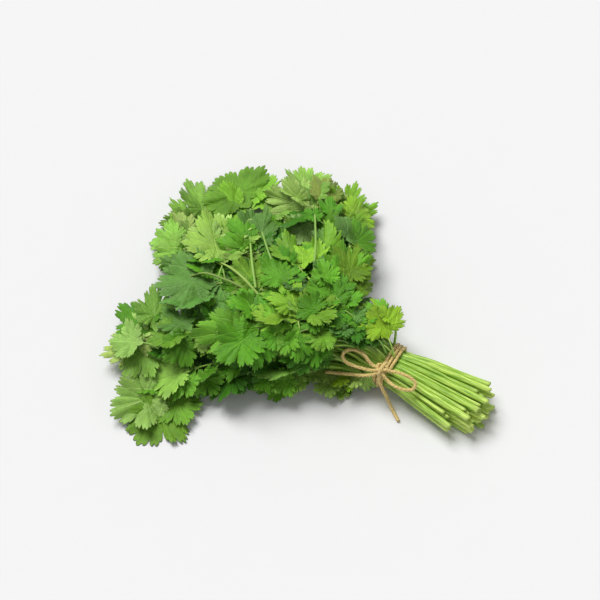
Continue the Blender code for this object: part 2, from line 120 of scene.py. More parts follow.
def even_line(points, step):
    """Points at an even step along a smooth line through the given points.

    Between two points b and c with neighbours a and d, it is the Catmull-Rom cubic
    half of (2b + (c - a)t + (2a - 5b + 4c - d)t^2 + (3b - a - 3c + d)t^3), t from 0 to 1.
    """
    points = np.asarray(points, float)
    padded = np.vstack([2 * points[0] - points[1], points, 2 * points[-1] - points[-2]])
    a, b, c, d = (padded[i:len(padded) - 3 + i, None] for i in range(4))
    t = np.linspace(0, 1, SMOOTH_STEPS, endpoint=False)[None, :, None]
    runs = 0.5 * (2 * b + (c - a) * t + (2 * a - 5 * b + 4 * c - d) * t**2
                  + (3 * b - a - 3 * c + d) * t**3)
    dense = np.vstack([runs.reshape(-1, 3), points[-1:]])
    along = distances(dense)
    even = np.linspace(0, along[-1], max(4, round(along[-1] / step) + 1))
    return np.column_stack([np.interp(even, along, dense[:, axis]) for axis in range(3)])


def line_length(line):
    return float(np.linalg.norm(np.diff(line, axis=0), axis=1).sum())


def unit(vectors):
    return vectors / np.maximum(np.linalg.norm(vectors, axis=-1, keepdims=True), 1e-12)


# %% Carry a cross-section along a line
# The size of the rings that close the two ends, against the tube's.
FIRST_END, LAST_END = [0.35, 0.75, 0.96], [0.85, 0.45]


def quads_between(rings):
    """The quads between each ring of corners and the next; the last corner is next to the first."""
    after = np.roll(rings, -1, axis=1)
    return np.dstack([rings[:-1], rings[1:], after[1:], after[:-1]]).reshape(-1, 4)


def tube(line, radius, sides=12, section=None, across=(0, 0, 1), cut_slope=0.0):
    """A closed tube as corners, faces and skin coordinates.

    Ring i is line[i] + r (cos p * side + sin p * top), where side is square to the line and to the
    direction `across`, which the line never follows, and r = radius[i] * section(p, distance along).
    At both ends smaller rings and a pole close it. cut_slope slants the cut at the first end.
    The skin coordinates are (cos p, sin p, distance along), so a pattern has no seam.
    """
    radius = np.broadcast_to(np.asarray(radius, float), len(line))
    way = unit(np.gradient(line, axis=0))
    side = unit(np.cross(way, across))
    top = np.cross(side, way)
    along = distances(line)
    angle = np.arange(sides) * 2 * math.pi / sides
    shape = np.ones((len(line), sides)) if section is None else section(angle, along[:, None])
    ring = np.concatenate([[0] * len(FIRST_END), np.arange(len(line)), [len(line) - 1] * len(LAST_END)])
    share = np.concatenate([FIRST_END, np.ones(len(line)), LAST_END])
    reach = (radius[ring] * share)[:, None] * shape[ring]
    outward = np.cos(angle)[:, None] * side[ring, None] + np.sin(angle)[:, None] * top[ring, None]
    corners = line[ring, None] + reach[..., None] * outward
    slant = cut_slope * np.clip(1 - along[ring] / (4 * radius[0]), 0, 1)
    corners = corners - (slant[:, None] * reach * np.sin(angle))[..., None] * way[ring, None]
    skin = np.dstack([np.cos(angle) * share[:, None], np.sin(angle) * share[:, None],
                      np.broadcast_to(along[ring, None], reach.shape)])
    count = len(ring) * sides
    here = np.arange(count).reshape(len(ring), sides)
    there = np.roll(here, -1, axis=1)
    first = np.column_stack([here[0], there[0], np.full(sides, count)])
    last = np.column_stack([there[-1], here[-1], np.full(sides, count + 1)])
    corners = np.vstack([corners.reshape(-1, 3), line[:1], line[-1:]])
    skin = np.vstack([skin.reshape(-1, 3), [[0, 0, 0], [0, 0, along[-1]]]])
    return corners, quads_between(here).tolist() + first.tolist() + last.tolist(), skin


# %% Put a shape into a mesh
pieces_of = {"leaf": [], "stem": [], "twine": []}


def put_in_mesh(name, corners, faces, slot, stands_for=(), **values):
    """A smooth-shaded piece at the origin, made of corners and lists of their numbers.

    A value with three columns becomes a vector at each corner, and one with four columns a colour.
    """
    mesh = bpy.data.meshes.new(name)
    mesh.from_pydata(corners.tolist(), [], faces)
    for label, value in values.items():
        kind, field = ("FLOAT_VECTOR", "vector") if value.shape[1] == 3 else ("FLOAT_COLOR", "color")
        layer = mesh.attributes.new(label, kind, "POINT")
        layer.data.foreach_set(field, value.astype(np.float32).ravel())
    mesh.shade_smooth()
    piece = bpy.data.objects.new(name, mesh)
    bpy.context.scene.collection.objects.link(piece)
    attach(piece, "root")
    if stands_for:
        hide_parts(*stands_for)
    pieces_of[slot].append(piece)
    return piece


# %% [markdown]
# ## The bow of the twine
# The bunch is tied with jute twine about 2 mm thick: three plies twisted together, with loose fibres.
# Its bow has two loops and two ends. They are free cords, so they come first: their lengths and routes
# are the same as in the CAD model, measured from the middle of the tie at floor level.
# The three plies are made by the section: its radius swells three times round,
# and the swelling turns with the distance along, so that the grooves wind round the twine.

# %% Shape the section of a three-ply twine
TWINE_RADIUS = 1.0 * MM
PLY_TURN = 2 * math.pi / (7 * MM)
GROOVE, PLY_BACK = 0.78, 0.3


def three_ply(angle, along):
    """1.08 at the back of a ply and 0.78 in a groove: 0.78 + 0.3 |cos(1.5 (angle - turn * along))|."""
    return GROOVE + PLY_BACK * np.abs(np.cos(1.5 * (angle - PLY_TURN * along)))


def twine(name, line, across, stands_for, radius=TWINE_RADIUS):
    """A piece of twine along a line, whose skin coordinates turn with its plies."""
    corners, faces, skin = tube(line, radius, 24, three_ply, across)
    turn = PLY_TURN * skin[:, 2]
    skin = np.column_stack([skin[:, 0] * np.cos(turn) + skin[:, 1] * np.sin(turn),
                            skin[:, 1] * np.cos(turn) - skin[:, 0] * np.sin(turn), skin[:, 2]])
    return put_in_mesh(name, corners, faces, "twine", stands_for, skin=skin)


def flattest(line):
    """The direction that the line follows least: the last axis of its ways, by singular values."""
    return np.linalg.svd(np.diff(line, axis=0))[2][-1]


# %% Tie the loops and the ends of the bow
LOOPS = {
    "twine_loop_left": (0.043, (
        (-6, -11.8, 25.2), (-9, -11.2, 26.8), (-13, -9.9, 28.8), (-18.4, -10.2, 29.8), (-23, -12.4, 28.8),
        (-24.2, -15.6, 26.2), (-20.5, -17.2, 23.8), (-15, -16.4, 22.8), (-9.4, -15.2, 22.8),
        (-5.8, -14.4, 23.2))),
    "twine_loop_right": (0.038, (
        (5.6, -10.0, 25.2), (8.5, -9.2, 26.2), (12.5, -8.7, 26.6), (17.6, -8.4, 26.4), (21.6, -9.3, 25.2),
        (22.0, -12.2, 22.8), (18.3, -14.6, 21.8), (12.8, -15.8, 21.8), (8.0, -15.4, 22.2),
        (5.6, -14.6, 22.4))),
}
ENDS = {
    "twine_tail_left": (0.031, (
        (-4.6, -16.4, 21.6), (-8.6, -17.8, 19.4), (-14.7, -18.6, 16), (-21.2, -19.8, 12.8),
        (-31.6, -22.8, 9.8))),
    "twine_tail_right": (0.031, (
        (1.2, -16.2, 20.6), (4.4, -18.0, 16.5), (7.6, -18.6, 11.0), (10.4, -19.2, 5.5), (14.0, -21.0, 2.0),
        (20.4, -25.2, 1.1))),
}
TWINE_STEP = 0.5 * MM
# Twine that is pulled tight is a little thinner.
TIGHT_RADIUS, KNOT_RADIUS, STRAND_RADIUS = (share * TWINE_RADIUS for share in (0.97, 0.95, 0.96))
bow_lines = {}
for far_end, routes in (("object", LOOPS), ("bare", ENDS)):
    for name, (length, route) in routes.items():
        line = even_line(TIE + np.array(route) * MM, TWINE_STEP)
        bow_lines[name] = line
        piece = twine(name.replace("twine", "bow"), line, flattest(line), [name])
        print(name, "is", round(line_length(line) / MM, 1), "mm long")

# %% [markdown]
# ## Reading the CAD pieces
# A CAD node arrives as loose triangles. A stem is a tube whose line isn't written anywhere, but a plane
# across the stem cuts it in a small ring, and the middle of the ring lies on the line. Starting at the cut
# end and stepping along the way found so far, slice after slice gives the whole line and its thickness.

# %% Merge a node's corners
def merged(node):
    """The node's corners, each place once, and its triangles as numbers of those corners."""
    mesh = frame["nodes"][node].data
    place = np.zeros(3 * len(mesh.vertices), np.float32)
    mesh.vertices.foreach_get("co", place)
    corner = np.zeros(len(mesh.loops), np.int32)
    mesh.loops.foreach_get("vertex_index", corner)
    places, number = np.unique(place.reshape(-1, 3).astype(float).round(6), axis=0, return_inverse=True)
    return places, number.reshape(-1)[corner].reshape(-1, 3)


# %% Slice a stem along its line
CUT_RING, SLICE_STEP = 5 * MM, 2.5 * MM
NEARBY, LEAST_OUTLINE = 40 * MM, 3 * MM


def slice_ring(corners, point, way):
    """The middle and the radius of the ring that a plane through point, square to way, cuts.

    A triangle is cut if one corner lies on the other side of the plane than its two neighbours. The cut is
    the line between the two edges' crossings. The middle is the mean of those lines' middles, weighed by
    length, and the radius is their whole length over a full turn.
    """
    height = (corners - point) @ way
    above = (height > 0).sum(1)
    crossed = (above > 0) & (above < 3) & (np.linalg.norm(corners.mean(1) - point, axis=1) < NEARBY)
    if not crossed.any():
        return None
    lone = np.where(above == 1, (height > 0).argmax(1), (height <= 0).argmax(1))[crossed]
    order = (lone[:, None] + np.arange(3)) % 3
    corner = np.take_along_axis(corners[crossed], order[..., None], 1)
    height = np.take_along_axis(height[crossed], order, 1)
    share = height[:, :1] / (height[:, :1] - height[:, 1:])
    ends = corner[:, :1] + share[..., None] * (corner[:, 1:] - corner[:, :1])
    near = np.linalg.norm(ends.mean(1) - point, axis=1) < 2 * CUT_RING
    length = np.linalg.norm(ends[near, 0] - ends[near, 1], axis=1)
    if length.sum() < LEAST_OUTLINE:
        return None
    return (ends[near].mean(1) * length[:, None]).sum(0) / length.sum(), length.sum() / (2 * math.pi)


def stem_rings(node):
    """The middle and the radius of rings along a stem, from its cut end to its leaf."""
    places, triangles = merged(node)
    corners = places[triangles]
    point = places[places[:, 0] > places[:, 0].max() - CUT_RING].mean(0)
    way = np.array([-1.0, 0, 0])
    middles, radii = [point], [None]
    while found := slice_ring(corners, point + SLICE_STEP * way, way):
        point, radius = found
        way = unit(point - middles[max(0, len(middles) - 2)])
        middles.append(point)
        radii.append(radius)
    return np.array(middles), np.array(radii[1:2] + radii[1:])


STEMS = [f"stem_{number:02d}" for number in range(1, 21)]
rings_of = {node: stem_rings(node) for node in STEMS}
long = [line_length(middles) / MM for middles, _ in rings_of.values()]
thick = np.concatenate([2 * radii / MM for _, radii in rings_of.values()])
print("stems are", round(min(long)), "to", round(max(long)), "mm long")
print("and", round(thick.min(), 1), "to", round(thick.max(), 1), "mm thick")

# %% [markdown]
# ## The twine round the stems
# A string pulled tight round a bundle of rods follows the outline of the bundle: in each direction it
# stands off the rod that lies furthest that way. So the twine's place at each angle is the middle of that
# stem plus the stem's and the twine's radius in that direction, and it moves along a little each turn.

# %% Wind the twine round the bundle
WRAP_TURNS, WRAP_PITCH = 3, 2.4 * MM
WRAP_START = math.radians(125)
CLEARANCE = 0.3 * MM


def stem_at_tie(node):
    """Where a stem crosses the middle of the tie, and its radius there."""
    middles, radii = rings_of[node]
    order = np.argsort(middles[:, 0])
    spot = [np.interp(TIE[0], middles[order, 0], value[order]) for value in (*middles.T, radii)]
    return spot[1:3], spot[3]


held = [stem_at_tie(node) for node in STEMS]
held_middles = np.array([middle for middle, _ in held])
held_radius = float(np.mean([radius for _, radius in held]))
turns = np.linspace(0, WRAP_TURNS, 60 * WRAP_TURNS + 1)
angles = WRAP_START + 2 * math.pi * turns
ways = np.column_stack([np.cos(angles), np.sin(angles)])
furthest = held_middles[np.argmax(ways @ held_middles.T, axis=1)]
ring = furthest + (held_radius + CLEARANCE + TWINE_RADIUS) * ways
wrap_line = np.column_stack([TIE[0] + (turns - WRAP_TURNS / 2) * WRAP_PITCH, ring])
wrap_line = even_line(wrap_line[::2], TWINE_STEP)
twine("tie_wrap", wrap_line, (1, 0, 0), ["twine_wrap"], TIGHT_RADIUS)
print("the wrap is", round(line_length(wrap_line) / MM), "mm of twine")

# %% [markdown]
# ## The knot
# Where the loops and ends meet, the twine passes over and under itself. A trefoil is the simplest line
# that does that, so the knot is a trefoil pressed into the space of the CAD knot and turned to face the
# way the CAD knot faces. Two strands run over it from one loop to the other, one goes down across them,
# and two lead from it into the ends, so that no end of the bow is left lying free.

# %% Tie the knot
knot_low, knot_high = (np.array(corner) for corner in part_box("twine_knot"))
KNOT_MIDDLE = (knot_low + knot_high) / 2
KNOT_OUT = np.array([0, math.cos(WRAP_START), math.sin(WRAP_START)])
KNOT_SIDE = np.array([1.0, 0, 0])
KNOT_UP = np.cross(KNOT_OUT, KNOT_SIDE)


def in_knot(points):
    """Points from the knot's own side, up and out directions to the frame, in millimetres."""
    points = np.asarray(points) * MM
    return KNOT_MIDDLE + points @ np.array([KNOT_SIDE, KNOT_UP, KNOT_OUT])


round_knot = np.linspace(0, 2 * math.pi, 17)
trefoil = np.column_stack([1.15 * (np.sin(round_knot) + 2 * np.sin(2 * round_knot)),
                           1.0 * (np.cos(round_knot) - 2 * np.cos(2 * round_knot)),
                           -1.5 * np.sin(3 * round_knot)])
twine("tie_knot", even_line(in_knot(trefoil), TWINE_STEP), KNOT_OUT, ["twine_knot"], KNOT_RADIUS)
left_loop, right_loop = bow_lines["twine_loop_left"], bow_lines["twine_loop_right"]
left_tail, right_tail = bow_lines["twine_tail_left"], bow_lines["twine_tail_right"]
STRANDS = {
    "tie_strand_a": (left_loop[-4], left_loop[-1], in_knot((-3.2, -2.4, 2.0)), in_knot((0, -0.4, 3.0)),
                     in_knot((3.0, 0.9, 1.9)), right_loop[0], right_loop[3]),
    "tie_strand_b": (left_loop[3], left_loop[0], in_knot((-3.0, -0.2, 1.8)), in_knot((0, -1.3, 2.1)),
                     in_knot((3.0, -3.0, 1.6)), right_loop[-1], right_loop[-4]),
    "tie_strand_c": in_knot(((0.6, 4.4, -1.4), (0.3, 2.2, 2.6), (0.2, -0.4, 3.9), (0.3, -3.2, 2.8),
                             (0.9, -5.0, -0.6))),
    "tie_strand_d": (left_tail[3], left_tail[0], in_knot((-2.6, -4.6, 1.5)), in_knot((-0.6, -2.2, 1.7)),
                     in_knot((0.4, 0.4, 1.2))),
    "tie_strand_e": (right_tail[3], right_tail[0], in_knot((0.9, -4.6, 1.5)), in_knot((0.4, -2.2, 2.4)),
                     in_knot((0, 0.2, 1.9))),
}
for name, route in STRANDS.items():
    line = even_line(route, TWINE_STEP)
    twine(name, line, flattest(line), (), STRAND_RADIUS)
print(len(STRANDS), "strands run through the knot")

# %% [markdown]
# ## Where each leaf sits
# A CAD leaf is a thin sheet of triangles that all meet at the point where its leaflets join. That point is
# the corner with the most edges, once above and once below. The table gives each leaf's colour and cut,
# and its leaflets much as the CAD draws them: bearing in degrees, length in millimetres, half width in
# degrees, and a colour where it isn't the leaf's. A few at the outline are smaller than the CAD's.

# %% List the leaves
LEAVES = {
    1: ("soft", "lobed", (225, 15, 38), (276, 8, 32), (176, 20, 30, "fresh")),
    2: ("fresh", "broad", (272, 42, 44), (236, 42, 28, "pale"), (322, 28, 34), (196, 30, 26, "mid")),
    3: ("fresh", "lobed", (225, 42, 22, "mid"), (184, 36, 32), (264, 12, 30)),
    4: ("soft", "lobed", (140, 40, 30), (110, 40, 24, "pale"), (174, 32, 30), (204, 34, 26, "soft")),
    5: ("olive", "lobed", (106, 40, 24), (62, 16, 34, "mid"), (150, 36, 32, "mid")),
    6: ("deep", "frilly", (196, 26, 32), (258, 22, 30), (150, 25, 32)),
    7: ("mid", "lobed", (225, 30, 38, "deep"), (180, 28, 34), (270, 16, 34, "deep")),
    8: ("soft", "lobed", (222, 34, 34), (182, 30, 30, "mid"), (262, 26, 30, "fresh"), (335, 22, 34, "mid")),
    9: ("soft", "lobed", (266, 36, 28), (232, 35, 30, "pale"), (199, 33, 30, "pale"), (163, 36, 30, "mid"),
        (127, 36, 28, "soft")),
    10: ("soft", "frilly", (192, 30, 34), (150, 32, 30, "pale"), (232, 28, 34, "soft"), (108, 24, 30, "pale")),
    11: ("fresh", "round", (156, 38, 42), (112, 34, 34), (204, 32, 34), (72, 24, 28)),
    12: ("bright", "lobed", (70, 29, 30), (106, 34, 26), (138, 32, 24, "tan"), (36, 22, 20)),
    13: ("fresh", "lobed", (238, 32, 36), (190, 30, 34), (284, 27, 34, "mid")),
    14: ("mid", "lobed", (152, 33, 36), (104, 30, 34, "soft"), (198, 28, 32, "deep")),
    15: ("deep", "frilly", (224, 31, 36), (188, 27, 30), (262, 25, 30)),
    16: ("soft", "narrow", (126, 32, 22), (156, 27, 26), (97, 27, 26, "tan")),
    17: ("fresh", "lobed", (218, 30, 38), (168, 28, 34, "bluish"), (264, 28, 34, "mid")),
    18: ("bluish", "broad", (206, 45, 30), (182, 44, 22, "bluish"), (238, 40, 28), (154, 34, 26, "mid"),
         (274, 30, 30)),
    19: ("pale", "lobed", (134, 41, 36), (96, 34, 28, "soft"), (172, 36, 30), (214, 26, 26, "mid")),
    20: ("bluish", "narrow", (155, 30, 34, "mid"), (112, 36, 26), (204, 26, 30, "mid"), (70, 22, 26, "deep")),
    21: ("mid", "lobed", (78, 26, 38), (28, 22, 32), (132, 30, 34)),
    22: ("pale", "lobed", (186, 37, 30), (156, 36, 24), (126, 34, 20, "soft"), (98, 33, 22, "tan"),
         (238, 26, 32, "deep")),
    23: ("fresh", "frilly", (115, 35, 30), (66, 27, 32, "mid"), (160, 28, 32)),
    24: ("mid", "lobed", (192, 34, 38, "deep"), (144, 31, 34), (240, 29, 32)),
    25: ("deep", "frilly", (186, 30, 36, "mid"), (228, 27, 30)),
    26: ("mid", "frilly", (236, 27, 34), (196, 27, 30), (156, 26, 30, "fresh"), (116, 26, 30)),
    27: ("mid", "lobed", (84, 26, 34), (124, 28, 32, "bluish"), (38, 10, 28, "olive")),
    28: ("fresh", "lobed", (219, 43, 28), (254, 39, 30, "mid"), (188, 38, 24), (292, 28, 30, "mid"),
         (150, 30, 30, "mid")),
    29: ("bright", "lobed", (131, 41, 32), (96, 36, 28), (167, 36, 28, "mid"), (204, 28, 28, "fresh")),
    30: ("mid", "lobed", (168, 32, 40, "bluish"), (118, 29, 34, "bluish"), (216, 28, 34)),
    31: ("fresh", "lobed", (142, 34, 36), (94, 30, 34, "bright"), (188, 28, 32, "mid")),
    32: ("mid", "frilly", (176, 27, 32), (132, 31, 36), (88, 24, 30, "olive")),
    33: ("mid", "frilly", (170, 30, 30), (128, 29, 32)),
    34: ("lime", "broad", (150, 22, 32), (122, 10, 26, "bright"), (186, 24, 28, "fresh")),
}
# The leaf at the end of each stem, in the order of the stems.
LEAF_AT = (2, 3, 4, 5, 7, 8, 9, 10, 11, 12, 17, 18, 19, 20, 21, 22, 28, 29, 30, 31)


def leaf_point(node):
    """Where a leaf's leaflets meet: the middle of the two corners with the most triangles."""
    places, triangles = merged(node)
    meeting = np.argsort(np.bincount(triangles.ravel()))[-2:]
    return places[meeting].mean(0)


leaf_points = {number: leaf_point(f"leaf_{number:02d}") for number in LEAVES}
highest = max(point[2] for point in leaf_points.values())
print(len(leaf_points), "leaves, the highest point at", round(highest / MM), "mm")

# %% [markdown]
# ## The stems
# A coriander stem is round with fine ridges. It is palest at its cut end, which is sliced at a slant
# and shows pale pith, and it thins beyond the tie, towards its leaf. The line through the ring middles is
# carried on to the point where the leaflets meet, so each stem becomes its leaf's petiole without a break.

# %% Keep a shape above the floor
EASED_BELOW, LOWEST = 2.0 * MM, 0.3 * MM


def off_the_floor(corners):
    """Corners eased up onto the surface: below 2 mm, z becomes 0.3 mm + 1.7 mm exp((z - 2 mm) / 1.7 mm)."""
    low = corners[:, 2] < EASED_BELOW
    eased = corners.copy()
    rest = EASED_BELOW - LOWEST
    eased[low, 2] = LOWEST + rest * np.exp((corners[low, 2] - EASED_BELOW) / rest)
    return eased


# %% Grow the stems
STEM_STEP = 1.6 * MM
RIDGES = 7
# A stem is a little thinner than in the CAD. Beyond the tie it thins over one distance to a share of
# that, and where the CAD's stem ends it thins once more, to become a petiole.
STEM_SHARE = 0.92
THIN_REACH, THIN_SHARE = 60 * MM, 0.68
PETIOLE_REACH, PETIOLE_SHARE = 9 * MM, 0.6
STEM_SHIFT = np.array([0, 0.7 * MM, 0.5 * MM])
stem_chance = np.random.default_rng(21)


def ridged(angle, along):
    """A circle with shallow ridges: 1 + 0.035 cos(7 angle) and a slow swelling along it."""
    return 1 + 0.035 * np.cos(RIDGES * angle) + 0.03 * np.sin(along / (9 * MM)) * np.cos(angle * 2)


def stem_place(skin, per_metre):
    """The share of the way along, a number of the stem's own, and how far from the middle of a cut.

    It also moves the skin coordinates along by chance, so that no two stems have the same fibres.
    """
    place = np.column_stack([skin[:, 2] * per_metre, np.full(len(skin), stem_chance.uniform()),
                             np.hypot(skin[:, 0], skin[:, 1])])
    skin[:, 2] += stem_chance.uniform(0, 1)
    return place


stem_lines = {}
for node, leaf in zip(STEMS, LEAF_AT):
    middles, radii = rings_of[node]
    ahead = leaf_points[leaf] - middles[-1]
    line = even_line(np.vstack([middles[:-2:4], middles[-1] + 0.5 * ahead, leaf_points[leaf]]), STEM_STEP)
    from_cut = distances(middles)
    along = np.linspace(0, line_length(line), len(line))
    radius = np.interp(along, from_cut, radii)
    radius *= np.interp(along, [from_cut[-1], from_cut[-1] + PETIOLE_REACH], [1, PETIOLE_SHARE])
    beyond = line_length(line[line[:, 0] > TIE[0]])
    radius = STEM_SHARE * radius * np.interp(along, [beyond, beyond + THIN_REACH], [1, THIN_SHARE])
    radius *= np.interp(along, [0, beyond], [stem_chance.uniform(0.8, 1.04), 1])
    shift = stem_chance.uniform(-1, 1, 3) * STEM_SHIFT
    line = line + np.interp(along, [0, beyond], [1, 0])[:, None] * shift
    corners, faces, skin = tube(line, radius, 28, ridged, cut_slope=stem_chance.uniform(0.2, 0.9))
    corners = off_the_floor(corners)
    place = stem_place(skin, 1 / along[-1])
    put_in_mesh(f"stalk_{node[-2:]}", corners, faces, "stem", [node], skin=skin, place=place)
    stem_lines[leaf] = line
print(len(stem_lines), "stems")

# %% [markdown]
# Between the thick stems lie slender ones, which fill the bundle. Such a stem runs halfway between two
# neighbours. On the outside of the bundle it stands off their middle line by as much as its own and their
# thickness ask for: a right triangle with half their gap as one side and the sum of the two radii as the
# longest. Under the twine it is pressed in between them.

# %% Lay slender stems in the grooves
SLENDER_RADIUS = 1.05 * MM
WIDEST_GAP = 3.6 * held_radius
PRESSED_BY, PRESSED_REACH = 0.7, 9 * MM
bundle_middle = held_middles.mean(0)
furthest_out = np.linalg.norm(held_middles - bundle_middle, axis=1).max()
gap_between = np.linalg.norm(held_middles[:, None] - held_middles[None], axis=2)
to_the_right = held_middles[None, :, 0] - held_middles[:, None, 0] > MM
upwards = held_middles[None, :, 1] - held_middles[:, None, 1] > -MM
slender_pairs = np.argwhere(to_the_right & upwards & (gap_between < WIDEST_GAP))


def slender_line(first, second, cut_back, length):
    """Halfway between two stems, moved out from the bundle's middle by sqrt((R + r)^2 - (gap / 2)^2)."""
    lines = []
    from_x = min(rings_of[STEMS[number]][0][:, 0].max() for number in (first, second)) - cut_back
    x = np.linspace(from_x, from_x - length, 60)
    for number in (first, second):
        middles = rings_of[STEMS[number]][0]
        order = np.argsort(middles[:, 0])
        lines.append(np.column_stack([np.interp(x, *middles[order][:, [0, axis]].T) for axis in (1, 2)]))
    halfway = (lines[0] + lines[1]) / 2
    half_gap = np.linalg.norm(lines[0] - lines[1], axis=1) / 2
    stand_off = np.sqrt(np.clip((held_radius + SLENDER_RADIUS)**2 - half_gap**2, 0, None))
    pressed = 1 - PRESSED_BY * np.exp(-((x - TIE[0]) / PRESSED_REACH)**2)
    at_tie = (held_middles[first] + held_middles[second]) / 2 - bundle_middle
    outside = np.clip(4 * np.linalg.norm(at_tie) / furthest_out - 2.4, 0, 1)
    away = (outside * stand_off * pressed)[:, None] * unit(halfway - bundle_middle)
    return np.column_stack([x, halfway + away])


for order, (first, second) in enumerate(slender_pairs):
    line = slender_line(first, second, stem_chance.uniform(0, 7) * MM, stem_chance.uniform(88, 108) * MM)
    line = even_line(line[::6], STEM_STEP)
    radius = SLENDER_RADIUS * stem_chance.uniform(0.8, 1.2) * np.linspace(1.1, 0.7, len(line))
    corners, faces, skin = tube(line, radius, 16, ridged, cut_slope=stem_chance.uniform(0.2, 0.9))
    place = stem_place(skin, 0.6 / skin[:, 2].max())
    put_in_mesh(f"slender_stalk_{order + 1:02d}", off_the_floor(corners), faces, "stem", skin=skin, place=place)
print(len(slender_pairs), "slender stems")

# %% [markdown]
# ## One leaflet
# A coriander leaflet is a rounded blade on a narrow base, cut into five lobes, each of them into three
# smaller ones, and those into three teeth: the same round scallop at three sizes. In flat form it is a
# function of two parameters, the direction seen from a point inside the blade and the share of the way
# from there to the margin. A scallop is 1 - depth * (1 - |sin|^0.6): round outside, with sharp clefts.
# A flat cut-out looks like paper, so the sheet is then bent: it arches along its length, cups or folds
# across, and the margin ruffles.
# The upper and lower faces share the margin, so each leaflet is a closed body, thin as a real one.

# %% Cut the margin
# Depth of the clefts between lobes, and of the smaller clefts, the ruffle, and the width against the CAD's.
CUTS = {
    "lobed": (0.46, 0.22, 1.1, 1.0),
    "broad": (0.34, 0.17, 1.0, 1.08),
    "round": (0.20, 0.10, 0.8, 1.15),
    "frilly": (0.42, 0.26, 1.7, 1.05),
    "narrow": (0.44, 0.22, 1.1, 0.8),
}
TOOTH_DEPTH = 0.095
SHORT_LEAFLET = 22 * MM
POINTS_PER_TOOTH = 4
# Clefts between the lobes, as directions in degrees from the tip, and their share of the full depth.
CLEFTS = np.array([-152.0, -97.0, -35.0, 35.0, 97.0, 152.0])
CLEFT_SHARE = np.array([0.3, 0.8, 1.0, 1.0, 0.8, 0.3])
# The blade's outline without clefts: direction in degrees, and reach as a share of the length.
BLADE = np.array([[0, 0.63], [35, 0.60], [65, 0.57], [97, 0.50],
                  [125, 0.43], [150, 0.31], [165, 0.29], [180, 0.37]])
BLADE_MIDDLE = 0.37


def scallop(phase, power=0.6):
    """1 in the clefts, where the phase is a whole number, and 0 midway: 1 - |sin(half turn * phase)|^power."""
    return 1 - np.abs(np.sin(math.pi * phase)) ** power


def margin(length, cleft, notch, chance):
    """Directions and reach of the margin from the blade's middle, once round, and the rise of the pleats.

    Between clefts the phase counts lobes, so scallop(phase) gives the lobes, scallop(3 phase) the smaller
    ones and scallop(9 phase) the teeth; a short leaflet has two teeth in place of three.
    """
    clefts = CLEFTS + chance.uniform(-8, 8, 6)
    teeth = 3 if length > SHORT_LEAFLET else 2
    phase = np.linspace(0, 5, 5 * 3 * teeth * POINTS_PER_TOOTH + 1)
    toothed = np.interp(phase, np.arange(6), clefts)
    plain = np.linspace(clefts[-1], clefts[0] + 360, 12)[1:-1]
    degrees = np.concatenate([toothed, plain])
    phase = np.concatenate([phase, np.zeros(len(plain))])
    has_teeth = np.concatenate([np.ones(len(toothed)), np.zeros(len(plain))])
    reach = np.interp(np.abs((degrees + 180) % 360 - 180), *BLADE.T)
    own = np.interp(phase, np.arange(6), CLEFT_SHARE * chance.uniform(0.75, 1.2, 6))
    reach = reach * (1 - cleft * own * has_teeth * scallop(phase, 0.5))
    uneven = np.interp(phase, np.arange(6), chance.uniform(0.6, 1.3, 6))
    reach = reach * (1 - notch * uneven * has_teeth * scallop(3 * phase))
    reach = reach * (1 - TOOTH_DEPTH * has_teeth * scallop(3 * teeth * phase, 0.8))
    lobes = 1 + has_teeth * np.interp(phase, np.arange(5) + 0.5, chance.uniform(-0.13, 0.10, 5))
    pleats = np.abs(np.sin(math.pi * phase)) + 0.3 * np.abs(np.sin(3 * math.pi * phase))
    return np.radians(degrees), length * reach * lobes, pleats


# %% Bend the sheet and close it
TO_MARGIN = np.array([0.24, 0.46, 0.65, 0.81, 0.92, 0.98, 1.0])
LEAF_THICKNESS = 0.35 * MM
CREASE_WIDTH = 1.5 * MM
WAVE_HEIGHT, RIPPLE_HEIGHT = 0.32, 0.022


